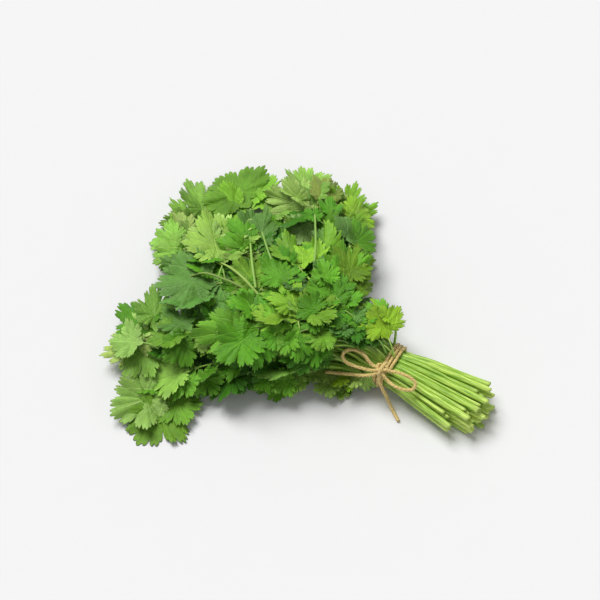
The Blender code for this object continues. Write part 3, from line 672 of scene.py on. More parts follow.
def leaflet(length, width, cut, chance, arch=0.0, cup=0.0):
    """A leaflet in its own frame, x from its base to its tip and z up: corners, faces, flat places, sides.

    Its height over the flat sheet is (arch x^2 + cup y^2) / length, a crease that grows with |y|, pleats
    that are high on each lobe's middle and low at its clefts, waves round the margin that grow with the
    square of the way out, and low ripples all over. The upper face stands half the thickness above that
    and the lower one half below. Both meet at the margin, where corners are shared, and each closes in
    a pole.
    """
    cleft, notch, ruffle, _ = CUTS[cut]
    direction, reach, pleats = margin(length, cleft, notch, chance)
    x = BLADE_MIDDLE * length + TO_MARGIN[:, None] * reach * np.cos(direction)
    y = width * TO_MARGIN[:, None] * reach * np.sin(direction)
    x, y = np.append(x, BLADE_MIDDLE * length), np.append(y, 0)
    way_out = np.hypot(x - BLADE_MIDDLE * length, y) / length
    turn = np.append(np.tile(direction, len(TO_MARGIN)), 0)
    phase, waves = chance.uniform(0, 6.28, 5), chance.integers(2, 4)
    height = arch * x**2 / length + cup * y**2 / length
    height += chance.uniform(-0.05, 0.30) * (np.hypot(y, CREASE_WIDTH) - CREASE_WIDTH)
    height += chance.uniform(0.05, 0.16) * length * way_out * np.append(np.tile(pleats, len(TO_MARGIN)), 0)
    height += WAVE_HEIGHT * ruffle * length * way_out**2 * (
        0.55 * np.sin(waves * turn + phase[0]) + 0.40 * np.sin(5 * turn + phase[1])
        + 0.20 * np.sin(11 * turn + phase[2]))
    height += RIPPLE_HEIGHT * length * np.sin(8 * x / length + phase[3]) * np.cos(7 * y / length + phase[4])
    rings, around = len(TO_MARGIN), len(direction)
    on_margin = np.arange(len(x)) // around == rings - 1
    on_margin[-1] = False
    half_thick = np.where(on_margin, 0, LEAF_THICKNESS / 2)
    upper = np.column_stack([x, y, height + half_thick])
    lower = np.column_stack([x, y, height - half_thick])[~on_margin]
    above = np.arange(rings * around).reshape(rings, around)
    below = above.copy()
    below[:-1] = len(upper) + np.arange((rings - 1) * around).reshape(rings - 1, around)
    faces = []
    for grid, pole, order in ((above, len(upper) - 1, 1), (below, len(upper) + len(lower) - 1, -1)):
        fan = np.column_stack([np.full(around, pole), grid[0], np.roll(grid[0], -1)])
        faces += quads_between(grid)[:, ::order].tolist() + fan[:, ::order].tolist()
    corners = np.vstack([upper, lower])
    to_margin = np.append(np.repeat(TO_MARGIN, around), 0)
    under = np.concatenate([np.where(on_margin, 0.5, 0), np.ones(len(lower))])
    lamina = np.column_stack([np.append(to_margin, to_margin[~on_margin]), under, np.ones(len(corners))])
    place = np.column_stack([corners[:, :2], np.full(len(corners), chance.uniform(0, 1))])
    return corners, faces, place, lamina


trial_corners, trial_faces, *_ = leaflet(32 * MM, 1.0, "lobed", np.random.default_rng(1))
print("one leaflet has", len(trial_corners), "corners and", len(trial_faces), "faces")

# %% [markdown]
# ## Colours of the leaves
# Young leaves on top are pale and yellowish, older ones deeper, and some have a bluish bloom.
# The colours are kept as a small palette of light reflected at red, green and blue,
# and each leaflet takes one with a little of its own variation.

# %% Mix the palette
TONES = {
    "pale": (0.345, 0.552, 0.112), "soft": (0.255, 0.484, 0.066), "fresh": (0.195, 0.455, 0.032),
    "mid": (0.118, 0.365, 0.017), "deep": (0.053, 0.205, 0.010), "bluish": (0.114, 0.285, 0.044),
    "bright": (0.230, 0.480, 0.030), "lime": (0.360, 0.630, 0.026), "olive": (0.175, 0.335, 0.016),
    "tan": (0.250, 0.360, 0.055), "stalk": (0.360, 0.560, 0.130),
}


def tinted(tone, count, chance):
    """The same colour at a number of corners, a little lighter or darker and greener or yellower."""
    colour = np.array(TONES[tone]) * chance.uniform(0.72, 1.28)
    colour = colour * (1 + chance.uniform(-0.12, 0.12) * np.array([1, 0, 0.5]))
    return np.tile([*colour, 1.0], (count, 1))


# %% [markdown]
# ## The leaves
# Each leaf takes its leaflets from the table, and the height and slope of each from the CAD sheet: a
# least-squares fit of height against distance along and across the leaflet. Each leaflet then rolls and
# tips a little by chance. Nothing may sink into the surface that the bunch lies on, so low points are
# eased up onto it.

# %% Fit a leaflet to the CAD sheet
STEEPEST = 0.6
TYPICAL_LENGTH = 0.03
SMALL_WEIGHT = 0.004


def cad_slopes(places, point, bearing, half):
    """Slope along, bend along and slope across of the sheet under one leaflet.

    They are a, b and c in height = a s + b s^2 / 30 mm + c t, with s along the leaflet and t across it,
    found by least squares with a small weight that keeps them from growing.
    """
    offset = places - point
    s = offset[:, 0] * math.cos(bearing) + offset[:, 1] * math.sin(bearing)
    t = offset[:, 1] * math.cos(bearing) - offset[:, 0] * math.sin(bearing)
    near = (s > 1 * MM) & (np.abs(np.arctan2(t, s)) < half + 0.08)
    terms = np.column_stack([s, s**2 / TYPICAL_LENGTH, t])[near]
    keep = SMALL_WEIGHT * np.eye(3)
    fit = np.linalg.lstsq(np.vstack([terms, keep]), np.append(offset[near, 2], [0, 0, 0]), rcond=None)[0]
    return np.clip(fit, -STEEPEST, STEEPEST)


def turned(axis, angle, vectors):
    """Vectors turned about a unit axis: v cos + (axis x v) sin + axis (axis . v)(1 - cos)."""
    return (vectors * math.cos(angle) + np.cross(axis, vectors) * math.sin(angle)
            + np.outer(vectors @ axis, axis) * (1 - math.cos(angle)))


# %% Gather the parts of one leaf
STALK_STEP = 1.2 * MM
# The radius of each kind of stalk where its route starts and where it ends.
LEAFLET_STALK, SIDE_STALK, SMALL_STALK = (0.55 * MM, 0.3 * MM), (0.6 * MM, 0.35 * MM), (0.7 * MM, 0.35 * MM)
PETIOLE, TOP_PETIOLE = (0.7 * MM, 0.9 * MM), (0.55 * MM, 0.9 * MM)


def heading(bearing, rise):
    """A direction with a bearing in plan that rises by this much for each metre in plan."""
    return np.array([math.cos(bearing), math.sin(bearing), rise])


class LeafParts:
    """The leaflets and stalks of one leaf, gathered to become one mesh."""

    def __init__(self):
        self.corners, self.faces, self.tint, self.flat, self.lamina = [], [], [], [], []
        self.count = 0

    def add(self, corners, faces, tint, flat, lamina):
        """Adds one closed body; its faces' numbers move on past the corners that are there already."""
        self.corners.append(off_the_floor(corners))
        self.faces += [[corner + self.count for corner in face] for face in faces]
        self.tint.append(tint)
        self.flat.append(flat)
        self.lamina.append(lamina)
        self.count += len(corners)

    def add_stalk(self, route, radii, chance):
        """A thin stalk along a route, from one radius to the other; its lamina values are all 0."""
        line = even_line(route, STALK_STEP)
        corners, faces, skin = tube(line, np.linspace(*radii, len(line)), 8)
        self.add(corners, faces, tinted("stalk", len(corners), chance), skin, np.zeros((len(corners), 3)))

    def add_leaflet(self, base, bearing, length, width, cut, tone, chance, slopes=(0, 0, 0), roll=0, tip=0):
        """One leaflet that starts at base; roll turns it about its length and tip lifts its end."""
        rise, bend, lean = slopes
        arch = np.clip(length / TYPICAL_LENGTH * bend, -0.4, 0.3) + chance.uniform(-0.28, 0.06)
        corners, faces, flat, lamina = leaflet(length, width, cut, chance, arch, chance.uniform(-0.45, 0.15))
        ahead = unit(heading(bearing, rise + tip))
        level = np.array([-math.sin(bearing), math.cos(bearing), lean])
        left = unit(level - (level @ ahead) * ahead)
        left = turned(ahead, roll, left[None])[0]
        placed = base + corners @ np.array([ahead, left, np.cross(ahead, left)])
        self.add(placed, faces, tinted(tone, len(corners), chance), flat, lamina)

    def put(self, name, stands_for):
        return put_in_mesh(name, np.vstack(self.corners), self.faces, "leaf", stands_for,
                           tint=np.vstack(self.tint), flat=np.vstack(self.flat), lamina=np.vstack(self.lamina))


# %% Grow the leaves
ROLL, TIP = math.radians(16), 0.14
HALF_OF_FULL_WIDTH = math.radians(34)
STALK_PART = 0.05
LONGEST_PETIOLE = 34 * MM


def way_back(number):
    """The direction in plan from a leaf's point back along its petiole."""
    spread = sum(length * heading(math.radians(bearing), 0)[:2] for bearing, length, *_ in LEAVES[number][2:])
    outward = (leaf_points[number] - TIE)[:2]
    return -unit(unit(spread) + unit(outward))


def grow_leaf(number):
    """One leaf: the leaflets of its row, and a petiole or the lower pairs on its stem."""
    tone, cut, *leaflets = LEAVES[number]
    node = f"leaf_{number:02d}"
    chance = np.random.default_rng(500 + number)
    places, _ = merged(node)
    point = leaf_points[number]
    parts = LeafParts()
    for bearing, length, half, *own_tone in leaflets:
        bearing, length, half = math.radians(bearing), length * MM, math.radians(half)
        slopes = cad_slopes(places, point, bearing, half)
        stalk = STALK_PART * length
        base = point + stalk * heading(bearing, slopes[0])
        parts.add_stalk(np.vstack([point, base, base + (base - point) * 0.8]), LEAFLET_STALK, chance)
        wide = CUTS[cut][3] * np.clip(half / HALF_OF_FULL_WIDTH, 0.75, 1.2)
        parts.add_leaflet(base, bearing, length - stalk, wide, cut, (own_tone or [tone])[0], chance, slopes,
                          chance.normal(0, ROLL), chance.uniform(-TIP, TIP))
    if number not in stem_lines:
        back = np.append(way_back(number), 0)
        to_tie = np.append(unit((TIE - point)[:2]), 0)
        drop = np.array([0, 0, point[2]])
        reach = min(LONGEST_PETIOLE, 0.55 * np.linalg.norm((TIE - point)[:2]))
        route = [point, point + 0.26 * reach * back - 0.05 * drop,
                 point + 0.53 * reach * unit(back + to_tie) - 0.3 * drop, point + reach * to_tie - 0.6 * drop]
        parts.add_stalk(np.array(route), PETIOLE, chance)
    else:
        add_lower_leaflets(parts, number, cut, chance)
    return parts.put(f"foliage_{number:02d}", [node])


# %% [markdown]
# Below its last leaflets a coriander leaf often carries a smaller pair on thin side stalks. They fill
# the spaces between the big leaves, so each stem gets one or two pairs where it nears its leaf. The
# leaves that lie lowest have none, so that the bunch keeps a clear outline.

# %% Add the smaller pairs on a stem
LOWER_PAIRS = (16 * MM, 31 * MM)
LOW_LEAF, CLEAR_OF_TIE = 8 * MM, 34 * MM
PAIR_TONES = ("mid", "fresh", "deep", "soft", "mid", "bluish")


def add_lower_leaflets(parts, number, cut, chance):
    """Pairs of small leaflets at set distances back along the stem from its leaf."""
    line = stem_lines[number]
    cut = cut if cut != "narrow" else "frilly"
    for back in LOWER_PAIRS if leaf_points[number][2] > LOW_LEAF else ():
        spot = len(line) - 1 - round(back / STEM_STEP)
        if np.linalg.norm((line[spot] - TIE)[:2]) < CLEAR_OF_TIE:
            continue
        onwards = math.atan2(*(line[spot + 2] - line[spot - 2])[[1, 0]])
        for turn in (-1, 1):
            bearing = onwards + turn * chance.uniform(0.6, 1.1)
            stalk = chance.uniform(4, 8) * MM
            ahead = heading(bearing, chance.uniform(0.15, 0.6))
            base = line[spot] + stalk * ahead
            parts.add_stalk(np.vstack([line[spot], line[spot] + 0.5 * stalk * ahead + (0, 0, 0.6 * MM), base]),
                            SIDE_STALK, chance)
            own_tone = PAIR_TONES[chance.integers(len(PAIR_TONES))]
            parts.add_leaflet(base, bearing + chance.uniform(-0.3, 0.3), chance.uniform(14, 20) * MM,
                              chance.uniform(0.8, 1.1), cut, own_tone, chance,
                              roll=chance.normal(0, 0.45), tip=chance.uniform(-0.35, 0.3))


leaf_pieces = [grow_leaf(number) for number in LEAVES]
print(len(leaf_pieces), "leaves,", sum(len(piece.data.polygons) for piece in leaf_pieces), "faces")

# %% [markdown]
# A bunch is thick with small leaves that push out between the big ones. They are set where a gap would
# show the stems: near the tie, on top of the pile, and at its front. Each row is a colour, a cut, the
# places of the base and the tip in millimetres from the tie at floor level, the width against the length,
# the roll in degrees, and how long the two side leaflets are against the middle one.

# %% Set small leaves into the gaps
SMALL_LEAVES = {
    "small_leaves_near_tie": (
        ("deep", "lobed", (-14.6, 1, 35), (-41, -1, 42), 1.0, 8, 0),
        ("deep", "frilly", (-6.5, 1.5, 29.5), (-22, 1, 36), 1.0, 6, 0),
        ("deep", "lobed", (-11, 2, 33), (-31, 8, 40), 1.05, -8, 0),
        ("fresh", "lobed", (-28, -13, 38), (-50, -22, 43), 1.0, 10, 0),
        ("deep", "frilly", (-27, -19.5, 26), (-43, -28, 32), 1.0, -18, 0),
        ("bluish", "lobed", (-25.3, 0, 38), (-46, 1, 43), 1.0, 12, 0.75),
        ("mid", "frilly", (-33, -18, 37), (-45, -34, 30), 1.0, -12, 0.5),
        ("mid", "lobed", (-19.8, 5, 37), (-42, 9.5, 42.5), 1.0, 14, 0.5),
        ("mid", "lobed", (-33.6, 4.4, 41), (-56, 6, 44), 1.05, -6, 0.8),
        ("deep", "frilly", (-19, 0, 36), (-32, -6, 38), 0.9, -20, 0),
        ("mid", "lobed", (-42.2, 8, 43), (-66, 15, 44.5), 1.0, 8, 0.8),
        ("mid", "lobed", (-41.7, -6.4, 42.5), (-63, -5.2, 44.5), 1.0, -8, 0.8),
        ("olive", "frilly", (-36.5, 14.3, 40), (-33, 30, 34), 1.1, -10, 0.7),
        ("olive", "lobed", (-43.6, 20.6, 39), (-51, 51, 36), 0.9, 10, 0.6),
        ("lime", "broad", (-4.6, 5.2, 31.5), (-21.5, 15.6, 43), 1.35, 0, 0),
        ("deep", "lobed", (-11, -4, 31.5), (-31, -7, 37.5), 0.65, 0, 0),
        ("soft", "lobed", (-24, -21, 6.5), (-49, -22.9, 13), 1.0, -14, 0.75),
        # Painted light: this leaf and the next are pale in place of fresh, lighter to make up for the shade of
        # the pile above them.
        ("pale", "frilly", (-10.4, -10.8, 12), (-21.3, -24, 6), 1.2, 20, 0.7),
        ("pale", "frilly", (-8.9, -10.9, 11), (-5.5, -20, 4), 1.1, -10, 0),
        ("fresh", "frilly", (-41.8, -31, 9), (-48.5, -41, 4), 1.2, 0, 0.6),
        ("soft", "narrow", (-37.4, -26.5, 22), (-67, -53, 14), 0.6, 48, 0),
        # Painted light: lime, lighter than this leaf's own colour, to make up for the shade of the pile above
        # it.
        ("lime", "lobed", (-16.4, -15.1, 9), (-31, -27, 5), 1.0, 12, 0.6),
        ("soft", "lobed", (-44, -31, 12), (-64, -48, 7), 1.0, 8, 0.6),
    ),
    "small_leaves_on_top": (
        ("bright", "lobed", (-54.3, -16.5, 43), (-76, 8, 44.5), 1.05, 10, 0.85),
        ("mid", "lobed", (-49.7, -22, 42), (-64.9, -40, 38), 1.05, -8, 0.8),
        ("mid", "lobed", (-70.7, 1.8, 42), (-94.3, 8.6, 39), 1.0, 6, 0.8),
        ("mid", "lobed", (-76.1, -21.7, 33), (-94, -15, 36), 1.0, -12, 0.8),
        ("fresh", "frilly", (-67, -22, 32), (-58.8, -44, 27), 1.0, -16, 0.8),
        ("soft", "broad", (-88.5, 59.7, 25), (-94.8, 41, 18), 1.2, 170, 0),
        ("bright", "frilly", (-70.8, 68.8, 22), (-63.3, 91, 18), 1.15, 14, 0.7),
        ("soft", "narrow", (-99.9, 73.1, 14), (-120.3, 101, 12), 1.0, 20, 0.5),
        ("tan", "narrow", (-90.5, 69.4, 16), (-96, 98, 14), 1.0, -16, 0.7),
        ("bright", "frilly", (-63.9, 28.4, 27), (-80.4, 56.8, 25), 0.6, 40, 0.5),
        ("bluish", "lobed", (-68.5, 43.6, 25), (-63.6, 63, 20), 1.05, 0, 0.8),
        ("mid", "lobed", (-72.3, 16.3, 30), (-94.8, 35.3, 30), 1.0, -8, 0.8),
        ("bluish", "broad", (-113.4, 25.5, 25), (-125.5, 51.2, 21), 0.8, 22, 0),
        ("soft", "lobed", (-117, -1.1, 29), (-146, 27, 27), 1.0, 8, 0),
        ("soft", "lobed", (-117, -1.1, 30), (-123, 27, 27), 0.9, -14, 0),
        ("soft", "lobed", (-103.9, 10, 29), (-124.3, 15.3, 28), 0.95, 10, 0.7),
        ("deep", "lobed", (-88, 22, 26), (-70, 30, 24), 1.0, -10, 0.7),
    ),
    "small_leaves_at_front": (
        ("fresh", "frilly", (-110.6, -46.4, 19), (-123, -61, 17), 1.1, 0, 0.8),
        ("pale", "broad", (-131, -67.4, 24.5), (-153, -74, 20), 1.25, 0, 0),
        ("deep", "frilly", (-99.5, -66.9, 13), (-84.6, -73.2, 7), 1.0, 10, 0.7),
        ("mid", "lobed", (-88, -15.7, 35), (-97, -34, 31), 1.0, 12, 0.8),
    ),
}
# How far behind a small leaf's base and below it its stalk starts, and then bends.
FOOT_BACK, FOOT_DROP, BEND_BACK, BEND_DROP = 9 * MM, 5 * MM, 4 * MM, 0.8 * MM


def tie_place(place):
    """A place given in millimetres from the tie at floor level, in the frame."""
    return TIE + np.array(place) * MM


def small_leaf(parts, row, chance):
    """One to three leaflets that start at a base, and a stalk that comes up from below it."""
    tone, cut, start, end, width, roll, sides = row
    base, tip = tie_place(start), tie_place(end)
    along = tip - base
    level = np.linalg.norm(along[:2])
    bearing = math.atan2(along[1], along[0])
    length = np.linalg.norm(along)
    ahead = along / length
    foot = base - FOOT_BACK * ahead - (0, 0, min(FOOT_DROP, 0.4 * base[2]))
    parts.add_stalk(np.array([foot, base - BEND_BACK * ahead - (0, 0, BEND_DROP), base + 0.03 * along]),
                    SMALL_STALK, chance)
    for turn, share in ((0, 1), (-1, sides), (1, sides)):
        if share:
            parts.add_leaflet(base, bearing + turn * chance.uniform(0.85, 1.15), share * length, width, cut,
                              tone, chance, (along[2] / level, 0, 0),
                              math.radians(roll) + turn * chance.uniform(0, 0.3),
                              chance.uniform(-0.1, 0.1) - 0.12 * abs(turn))


for order, (name, rows) in enumerate(SMALL_LEAVES.items()):
    parts, chance = LeafParts(), np.random.default_rng(900 + order)
    for row in rows:
        small_leaf(parts, row, chance)
    parts.put(name, ())
    print(name, "has", len(rows), "leaves")

# %% [markdown]
# A few pale petioles run over the leaves on top. They are thin tubes along smooth lines through a few
# places, given in millimetres from the tie as before.

# %% Lay petioles over the leaves
PETIOLES = (
    ((-107.3, 30, 34), (-95.5, 17.7, 39), (-84.7, 7.9, 41), (-74, -1, 38)),
    ((-86.5, 58.6, 32), (-74, 38, 38), (-65, 21, 42), (-56, 8, 39)),
    ((-113.2, 25.3, 30), (-100.8, 7.6, 36), (-90, -6, 34)),
    ((-134.7, -18, 24), (-123.6, -12.1, 32), (-109.8, -10.2, 34), (-96, -9, 33)),
    ((-147.1, 5.8, 20), (-140.4, 3.4, 23), (-135.2, 2.1, 22), (-126, -1, 18)),
    ((-120, 0.6, 30), (-109.6, -1.6, 34), (-98.1, -5.2, 36), (-84, -10, 34)),
)
petioles, chance = LeafParts(), np.random.default_rng(950)
for route in PETIOLES:
    petioles.add_stalk(np.array([tie_place(place) for place in route]), TOP_PETIOLE, chance)
petioles.put("petioles_on_top", ())
print(len(PETIOLES), "petioles on top")

# %% [markdown]
# ## Materials: shared effects
# Two effects are worth a node group, with named inputs that are easy to try out: an uneven mix of light
# and dark that keeps a surface from looking painted, and the veins of a leaf. Everything else is a handful
# of plain nodes. A short helper with one method for each kind of node keeps their wiring readable.

# %% A helper that places and joins nodes
class Nodes:
    """A node tree to add to. Each value is a number, a vector, a colour or another node's output."""

    def __init__(self, tree):
        self.tree = tree

    def fill(self, node, values):
        """Fills a node's inputs, by name or number, from values or outputs."""
        for place, value in dict(values).items():
            if isinstance(value, bpy.types.NodeSocket):
                self.tree.links.new(value, node.inputs[place])
            else:
                node.inputs[place].default_value = value
        return node

    def add(self, kind, values=(), **settings):
        """Adds a node, sets its properties and fills its inputs."""
        node = self.tree.nodes.new("ShaderNode" + kind)
        for label, value in settings.items():
            setattr(node, label, value)
        return self.fill(node, values)

    def group(self, made, **values):
        """The outputs of a node group placed here with its own values."""
        return self.add("Group", values, node_tree=made).outputs

    def attribute(self, name, output="Vector"):
        return self.add("Attribute", attribute_name=name).outputs[output]

    def split(self, vector):
        """A vector's three numbers."""
        return self.add("SeparateXYZ", {0: vector}).outputs

    def drawn_out(self, vector, times):
        """A vector whose third number grows, so a pattern that reads it gets finer that way."""
        return self.add("Mapping", {"Vector": vector, "Scale": (1.0, 1.0, times)}).outputs[0]

    def noise(self, vector, scale, detail=2.0):
        return self.add("TexNoise", {"Vector": vector, "Scale": scale, "Detail": detail}).outputs[0]

    def math(self, operation, *values):
        return self.add("Math", enumerate(values), operation=operation).outputs[0]

    def times(self, *values):
        return self.math("MULTIPLY", *values)

    def plus(self, *values):
        return self.math("ADD", *values)

    def ramp(self, value, low, high, to_low=0.0, to_high=1.0):
        """Value taken smoothly from the range low..high to the range to_low..to_high."""
        ranges = {"Value": value, "From Min": low, "From Max": high, "To Min": to_low, "To Max": to_high}
        return self.add("MapRange", ranges, interpolation_type="SMOOTHSTEP").outputs["Result"]

    def blend(self, share, first, second, kind="MIX"):
        """A mix of two colours: share 0 gives the first and share 1 the second."""
        values = {"Factor": share, 6: first, 7: second}
        return self.add("Mix", values, data_type="RGBA", blend_type=kind).outputs[2]

    def multiplied(self, colour, factors):
        """A colour times a value or times another colour, each light by its own factor."""
        return self.blend(1.0, colour, factors, "MULTIPLY")

    def bump(self, height, strength, distance):
        values = {"Height": height, "Strength": strength, "Distance": distance}
        return self.add("Bump", values).outputs[0]


def new_group(name, inputs, outputs):
    """An empty node group: its nodes, what goes into it, and the node that puts out its results.

    An input with a default is a number, and one without is a vector. The results are numbers.
    """
    made = bpy.data.node_groups.new(name, "ShaderNodeTree")
    for label, default in inputs.items():
        kind = "NodeSocketVector" if default is None else "NodeSocketFloat"
        socket = made.interface.new_socket(label, in_out="INPUT", socket_type=kind)
        if default is not None:
            socket.default_value = default
    for label in outputs:
        made.interface.new_socket(label, in_out="OUTPUT", socket_type="NodeSocketFloat")
    return Nodes(made), made.nodes.new("NodeGroupInput").outputs, made.nodes.new("NodeGroupOutput")


def new_finish(name, pieces):
    """A new material on all of the pieces: its nodes and its Principled shader."""
    material = bpy.data.materials.new(name)
    material.use_nodes = True
    for piece in pieces:
        piece.data.materials.append(material)
    return Nodes(material.node_tree), material.node_tree.nodes["Principled BSDF"]


# %% Group: uneven light and dark
def make_mottle():
    """Broad and fine noise added together: puts out a value around 1 to multiply a colour with."""
    nodes, given, result = new_group(
        "mottle", {"Vector": None, "Broad": 60.0, "Fine": 500.0, "Amount": 0.2}, ["Value"])
    broad = nodes.noise(given["Vector"], given["Broad"])
    fine = nodes.noise(given["Vector"], given["Fine"], 3.0)
    both = nodes.plus(nodes.times(broad, 1.3), nodes.times(fine, 0.7))
    spread = nodes.times(nodes.math("SUBTRACT", both, 1.0), given["Amount"])
    nodes.fill(result, {"Value": nodes.plus(nodes.times(spread, 4.0), 1.0)})
    return nodes.tree


MOTTLE = make_mottle()

# %% [markdown]
# The veins spread from the base of a leaflet like a fan, and side veins leave the middle one at a slant. In
# flat coordinates the bearing of a point, divided into equal steps, tells how far it is from the nearest
# vein; multiplied by the distance from the base that becomes a length, so a vein keeps its width. Finer
# steps that start further out give the forks. Equal steps of x - 1.2 |y| give the slanting ones.
# Between the veins lies a net of tiny cells.

# %% Group: the veins of a leaflet
# For each fan: the step between veins in radians, where they start, their width in millimetres, and how
# strongly they show.
VEIN_FANS = ((0.40, 0.0, 0.50, 1.0), (0.20, 9.0, 0.36, 0.55))
SIDE_VEIN_SLANT, SIDE_VEIN_GAP, SIDE_VEIN_WIDTH = 1.2, 4.2 * MM, 0.40 * MM
CELL_SCALE = 800.0


def make_veins():
    """Masks of the veins and of the net between them, from a place on the flat leaflet."""
    nodes, given, result = new_group("veins", {"Flat": None}, ["Veins", "Net"])
    flat = given["Flat"]
    wander = nodes.noise(flat, 130.0)
    x, y, _ = nodes.split(flat)
    out = nodes.math("SQRT", nodes.plus(nodes.times(x, x), nodes.times(y, y)))
    bearing = nodes.math("ARCTAN2", y, x)
    bearing = nodes.plus(bearing, nodes.times(nodes.math("SUBTRACT", wander, 0.5), 0.10))
    masks = []
    for step, start, width, strength in VEIN_FANS:
        away = nodes.math("PINGPONG", nodes.math("DIVIDE", bearing, step), 0.5)
        line = nodes.ramp(nodes.times(nodes.times(away, step), out), 0.0, width * MM, 1.0, 0.0)
        begun = nodes.ramp(out, (start - 0.1) * MM, (start + 3) * MM, 0.0, strength)
        masks.append(nodes.times(line, begun))
    ahead = nodes.math("SUBTRACT", x, nodes.times(nodes.math("ABSOLUTE", y), SIDE_VEIN_SLANT))
    ahead = nodes.plus(ahead, nodes.times(wander, 1.5 * MM))
    away = nodes.math("PINGPONG", nodes.math("DIVIDE", ahead, SIDE_VEIN_GAP), 0.5)
    masks.append(nodes.ramp(nodes.times(away, SIDE_VEIN_GAP), 0.0, SIDE_VEIN_WIDTH, 0.5, 0.0))
    veins = nodes.math("MAXIMUM", nodes.math("MAXIMUM", masks[0], masks[1]), masks[2])
    cells = nodes.add("TexVoronoi", {"Vector": flat, "Scale": CELL_SCALE}, feature="DISTANCE_TO_EDGE")
    nodes.fill(result, {"Veins": veins, "Net": nodes.ramp(cells.outputs[0], 0.0, 0.22, 1.0, 0.0)})
    return nodes.tree


VEINS = make_veins()
print("node groups:", [group.name for group in bpy.data.node_groups])

# %% [markdown]
# ## The leaf's finish
# A fresh leaf is soft and a little glossy, and paler below. Its veins are lighter than
# the tissue between them, which bulges up slightly. Light that falls on one side shines through to the
# other as a warm yellow-green, which a Translucent shader mixed with the Principled one gives.
# The margin is a little lighter too, and its very edge all round is painted darker, as painted shade
# where the surface turns over the edge, so the teeth end in tiny dark points.

# %% Make the leaf's material
LIGHTER = (1.7, 1.42, 2.1, 1)
PAINTED_EDGE_SHADE = (0.08, 0.13, 0.02, 1)
UNDERSIDE = (0.30, 0.44, 0.20, 1)
SHINES_THROUGH, THROUGH_SHARE = (1.3, 1.3, 0.45, 1), 0.26
RELIEF = 0.35 * MM

nodes, shader = new_finish("coriander_leaf", pieces_of["leaf"])
flat = nodes.attribute("flat")
to_margin, under, is_blade = nodes.split(nodes.attribute("lamina"))
vein, net = (nodes.times(mask, is_blade) for mask in nodes.group(VEINS, Flat=flat))
mottle = nodes.group(MOTTLE, Vector=flat, Broad=70.0, Fine=450.0, Amount=0.16)["Value"]
rim = nodes.times(nodes.ramp(to_margin, 0.80, 0.97, 0.0, 0.35), is_blade)
# Painted shade: a thin dark line along the very edge of the blade, teeth and clefts alike.
points = nodes.times(nodes.ramp(to_margin, 0.965, 0.995, 0.0, 0.55), is_blade)
colour = nodes.multiplied(nodes.attribute("tint", "Color"), mottle)
lighter = nodes.multiplied(colour, LIGHTER)
for share, other in ((nodes.times(vein, 0.85), lighter), (nodes.times(net, 0.16), lighter),
                     (rim, lighter), (points, PAINTED_EDGE_SHADE)):
    colour = nodes.blend(share, colour, other)
colour = nodes.blend(nodes.times(under, is_blade), colour, nodes.blend(0.55, colour, UNDERSIDE))
bump = nodes.bump(nodes.plus(nodes.times(vein, -1.0), nodes.times(net, -0.35)), 0.8, RELIEF)
nodes.fill(shader, {"Base Color": colour, "Roughness": nodes.ramp(mottle, 0.8, 1.2, 0.38, 0.55),
                    "Normal": bump, "Specular IOR Level": 0.28})
through = nodes.multiplied(colour, SHINES_THROUGH)
glow = nodes.add("BsdfTranslucent", {"Color": through, "Normal": bump})
both = nodes.add("MixShader", {0: THROUGH_SHARE, 1: shader.outputs[0], 2: glow.outputs[0]})
nodes.fill(nodes.tree.nodes["Material Output"], {"Surface": both.outputs[0]})
print(len(pieces_of["leaf"]), "pieces with the leaf's finish")

# %% [markdown]
# ## The stem's finish
# Stems are pale yellow-green near their cut ends and greener towards the leaves, and no two are alike.
# Fine fibres run along them, so the noise is drawn out lengthways: it reads the place round the stem
# many times larger than the place along it. The cut end shows pale pith inside a greener rim.

# %% Make the stem's material
CUT_COLOUR, LEAF_END_COLOUR = (0.58, 0.78, 0.130, 1), (0.31, 0.54, 0.050, 1)
DEEPER_STEM = (0.25, 0.46, 0.040, 1)
BETWEEN_FIBRES, ON_FIBRES = (0.38, 0.56, 0.21, 1), (1.36, 1.23, 1.55, 1)
NEAR_CUT, PITH = (0.62, 0.74, 0.22, 1), (0.64, 0.72, 0.28, 1)
STEM_RELIEF, LIGHT_REACH = 0.3 * MM, 1.5 * MM

nodes, shader = new_finish("coriander_stem", pieces_of["stem"])
share, own, from_middle = nodes.split(nodes.attribute("place"))
drawn = nodes.drawn_out(nodes.attribute("skin"), 30.0)
coarse, fine = nodes.noise(drawn, 3.2, 4.0), nodes.noise(drawn, 11.0)
colour = nodes.blend(nodes.ramp(share, 0.05, 0.60), CUT_COLOUR, LEAF_END_COLOUR)
colour = nodes.blend(nodes.ramp(own, 0.2, 1.0, 0.0, 0.75), colour, DEEPER_STEM)
colour = nodes.blend(nodes.ramp(coarse, 0.35, 0.65), nodes.multiplied(colour, BETWEEN_FIBRES),
                     nodes.multiplied(colour, ON_FIBRES))
colour = nodes.blend(nodes.ramp(share, 0.0, 0.06, 0.35, 0.0), colour, NEAR_CUT)
colour = nodes.blend(nodes.ramp(from_middle, 0.90, 0.72), colour, PITH)
nodes.fill(shader, {"Base Color": colour, "Roughness": nodes.ramp(fine, 0.3, 0.7, 0.34, 0.5),
                    "Normal": nodes.bump(nodes.plus(coarse, nodes.times(fine, 0.5)), 0.5, STEM_RELIEF),
                    "Subsurface Weight": 0.08, "Subsurface Radius": (0.8, 1.0, 0.3),
                    "Subsurface Scale": LIGHT_REACH})
print(len(pieces_of["stem"]), "pieces with the stem's finish")

# %% [markdown]
# ## The twine's fuzz and finish
# Jute is a coarse golden-brown fibre. Short fibres stand off the twine all along it: each is a thin
# tapering blade of a few faces, bent over to one side. They are one piece, made by moving and turning
# the same small shape with arrays.

# %% Make the loose fibres
FIBRE_SIDES, FIBRE_RINGS, FIBRE_RADIUS = 3, 4, 0.06 * MM
fibre_chance = np.random.default_rng(77)


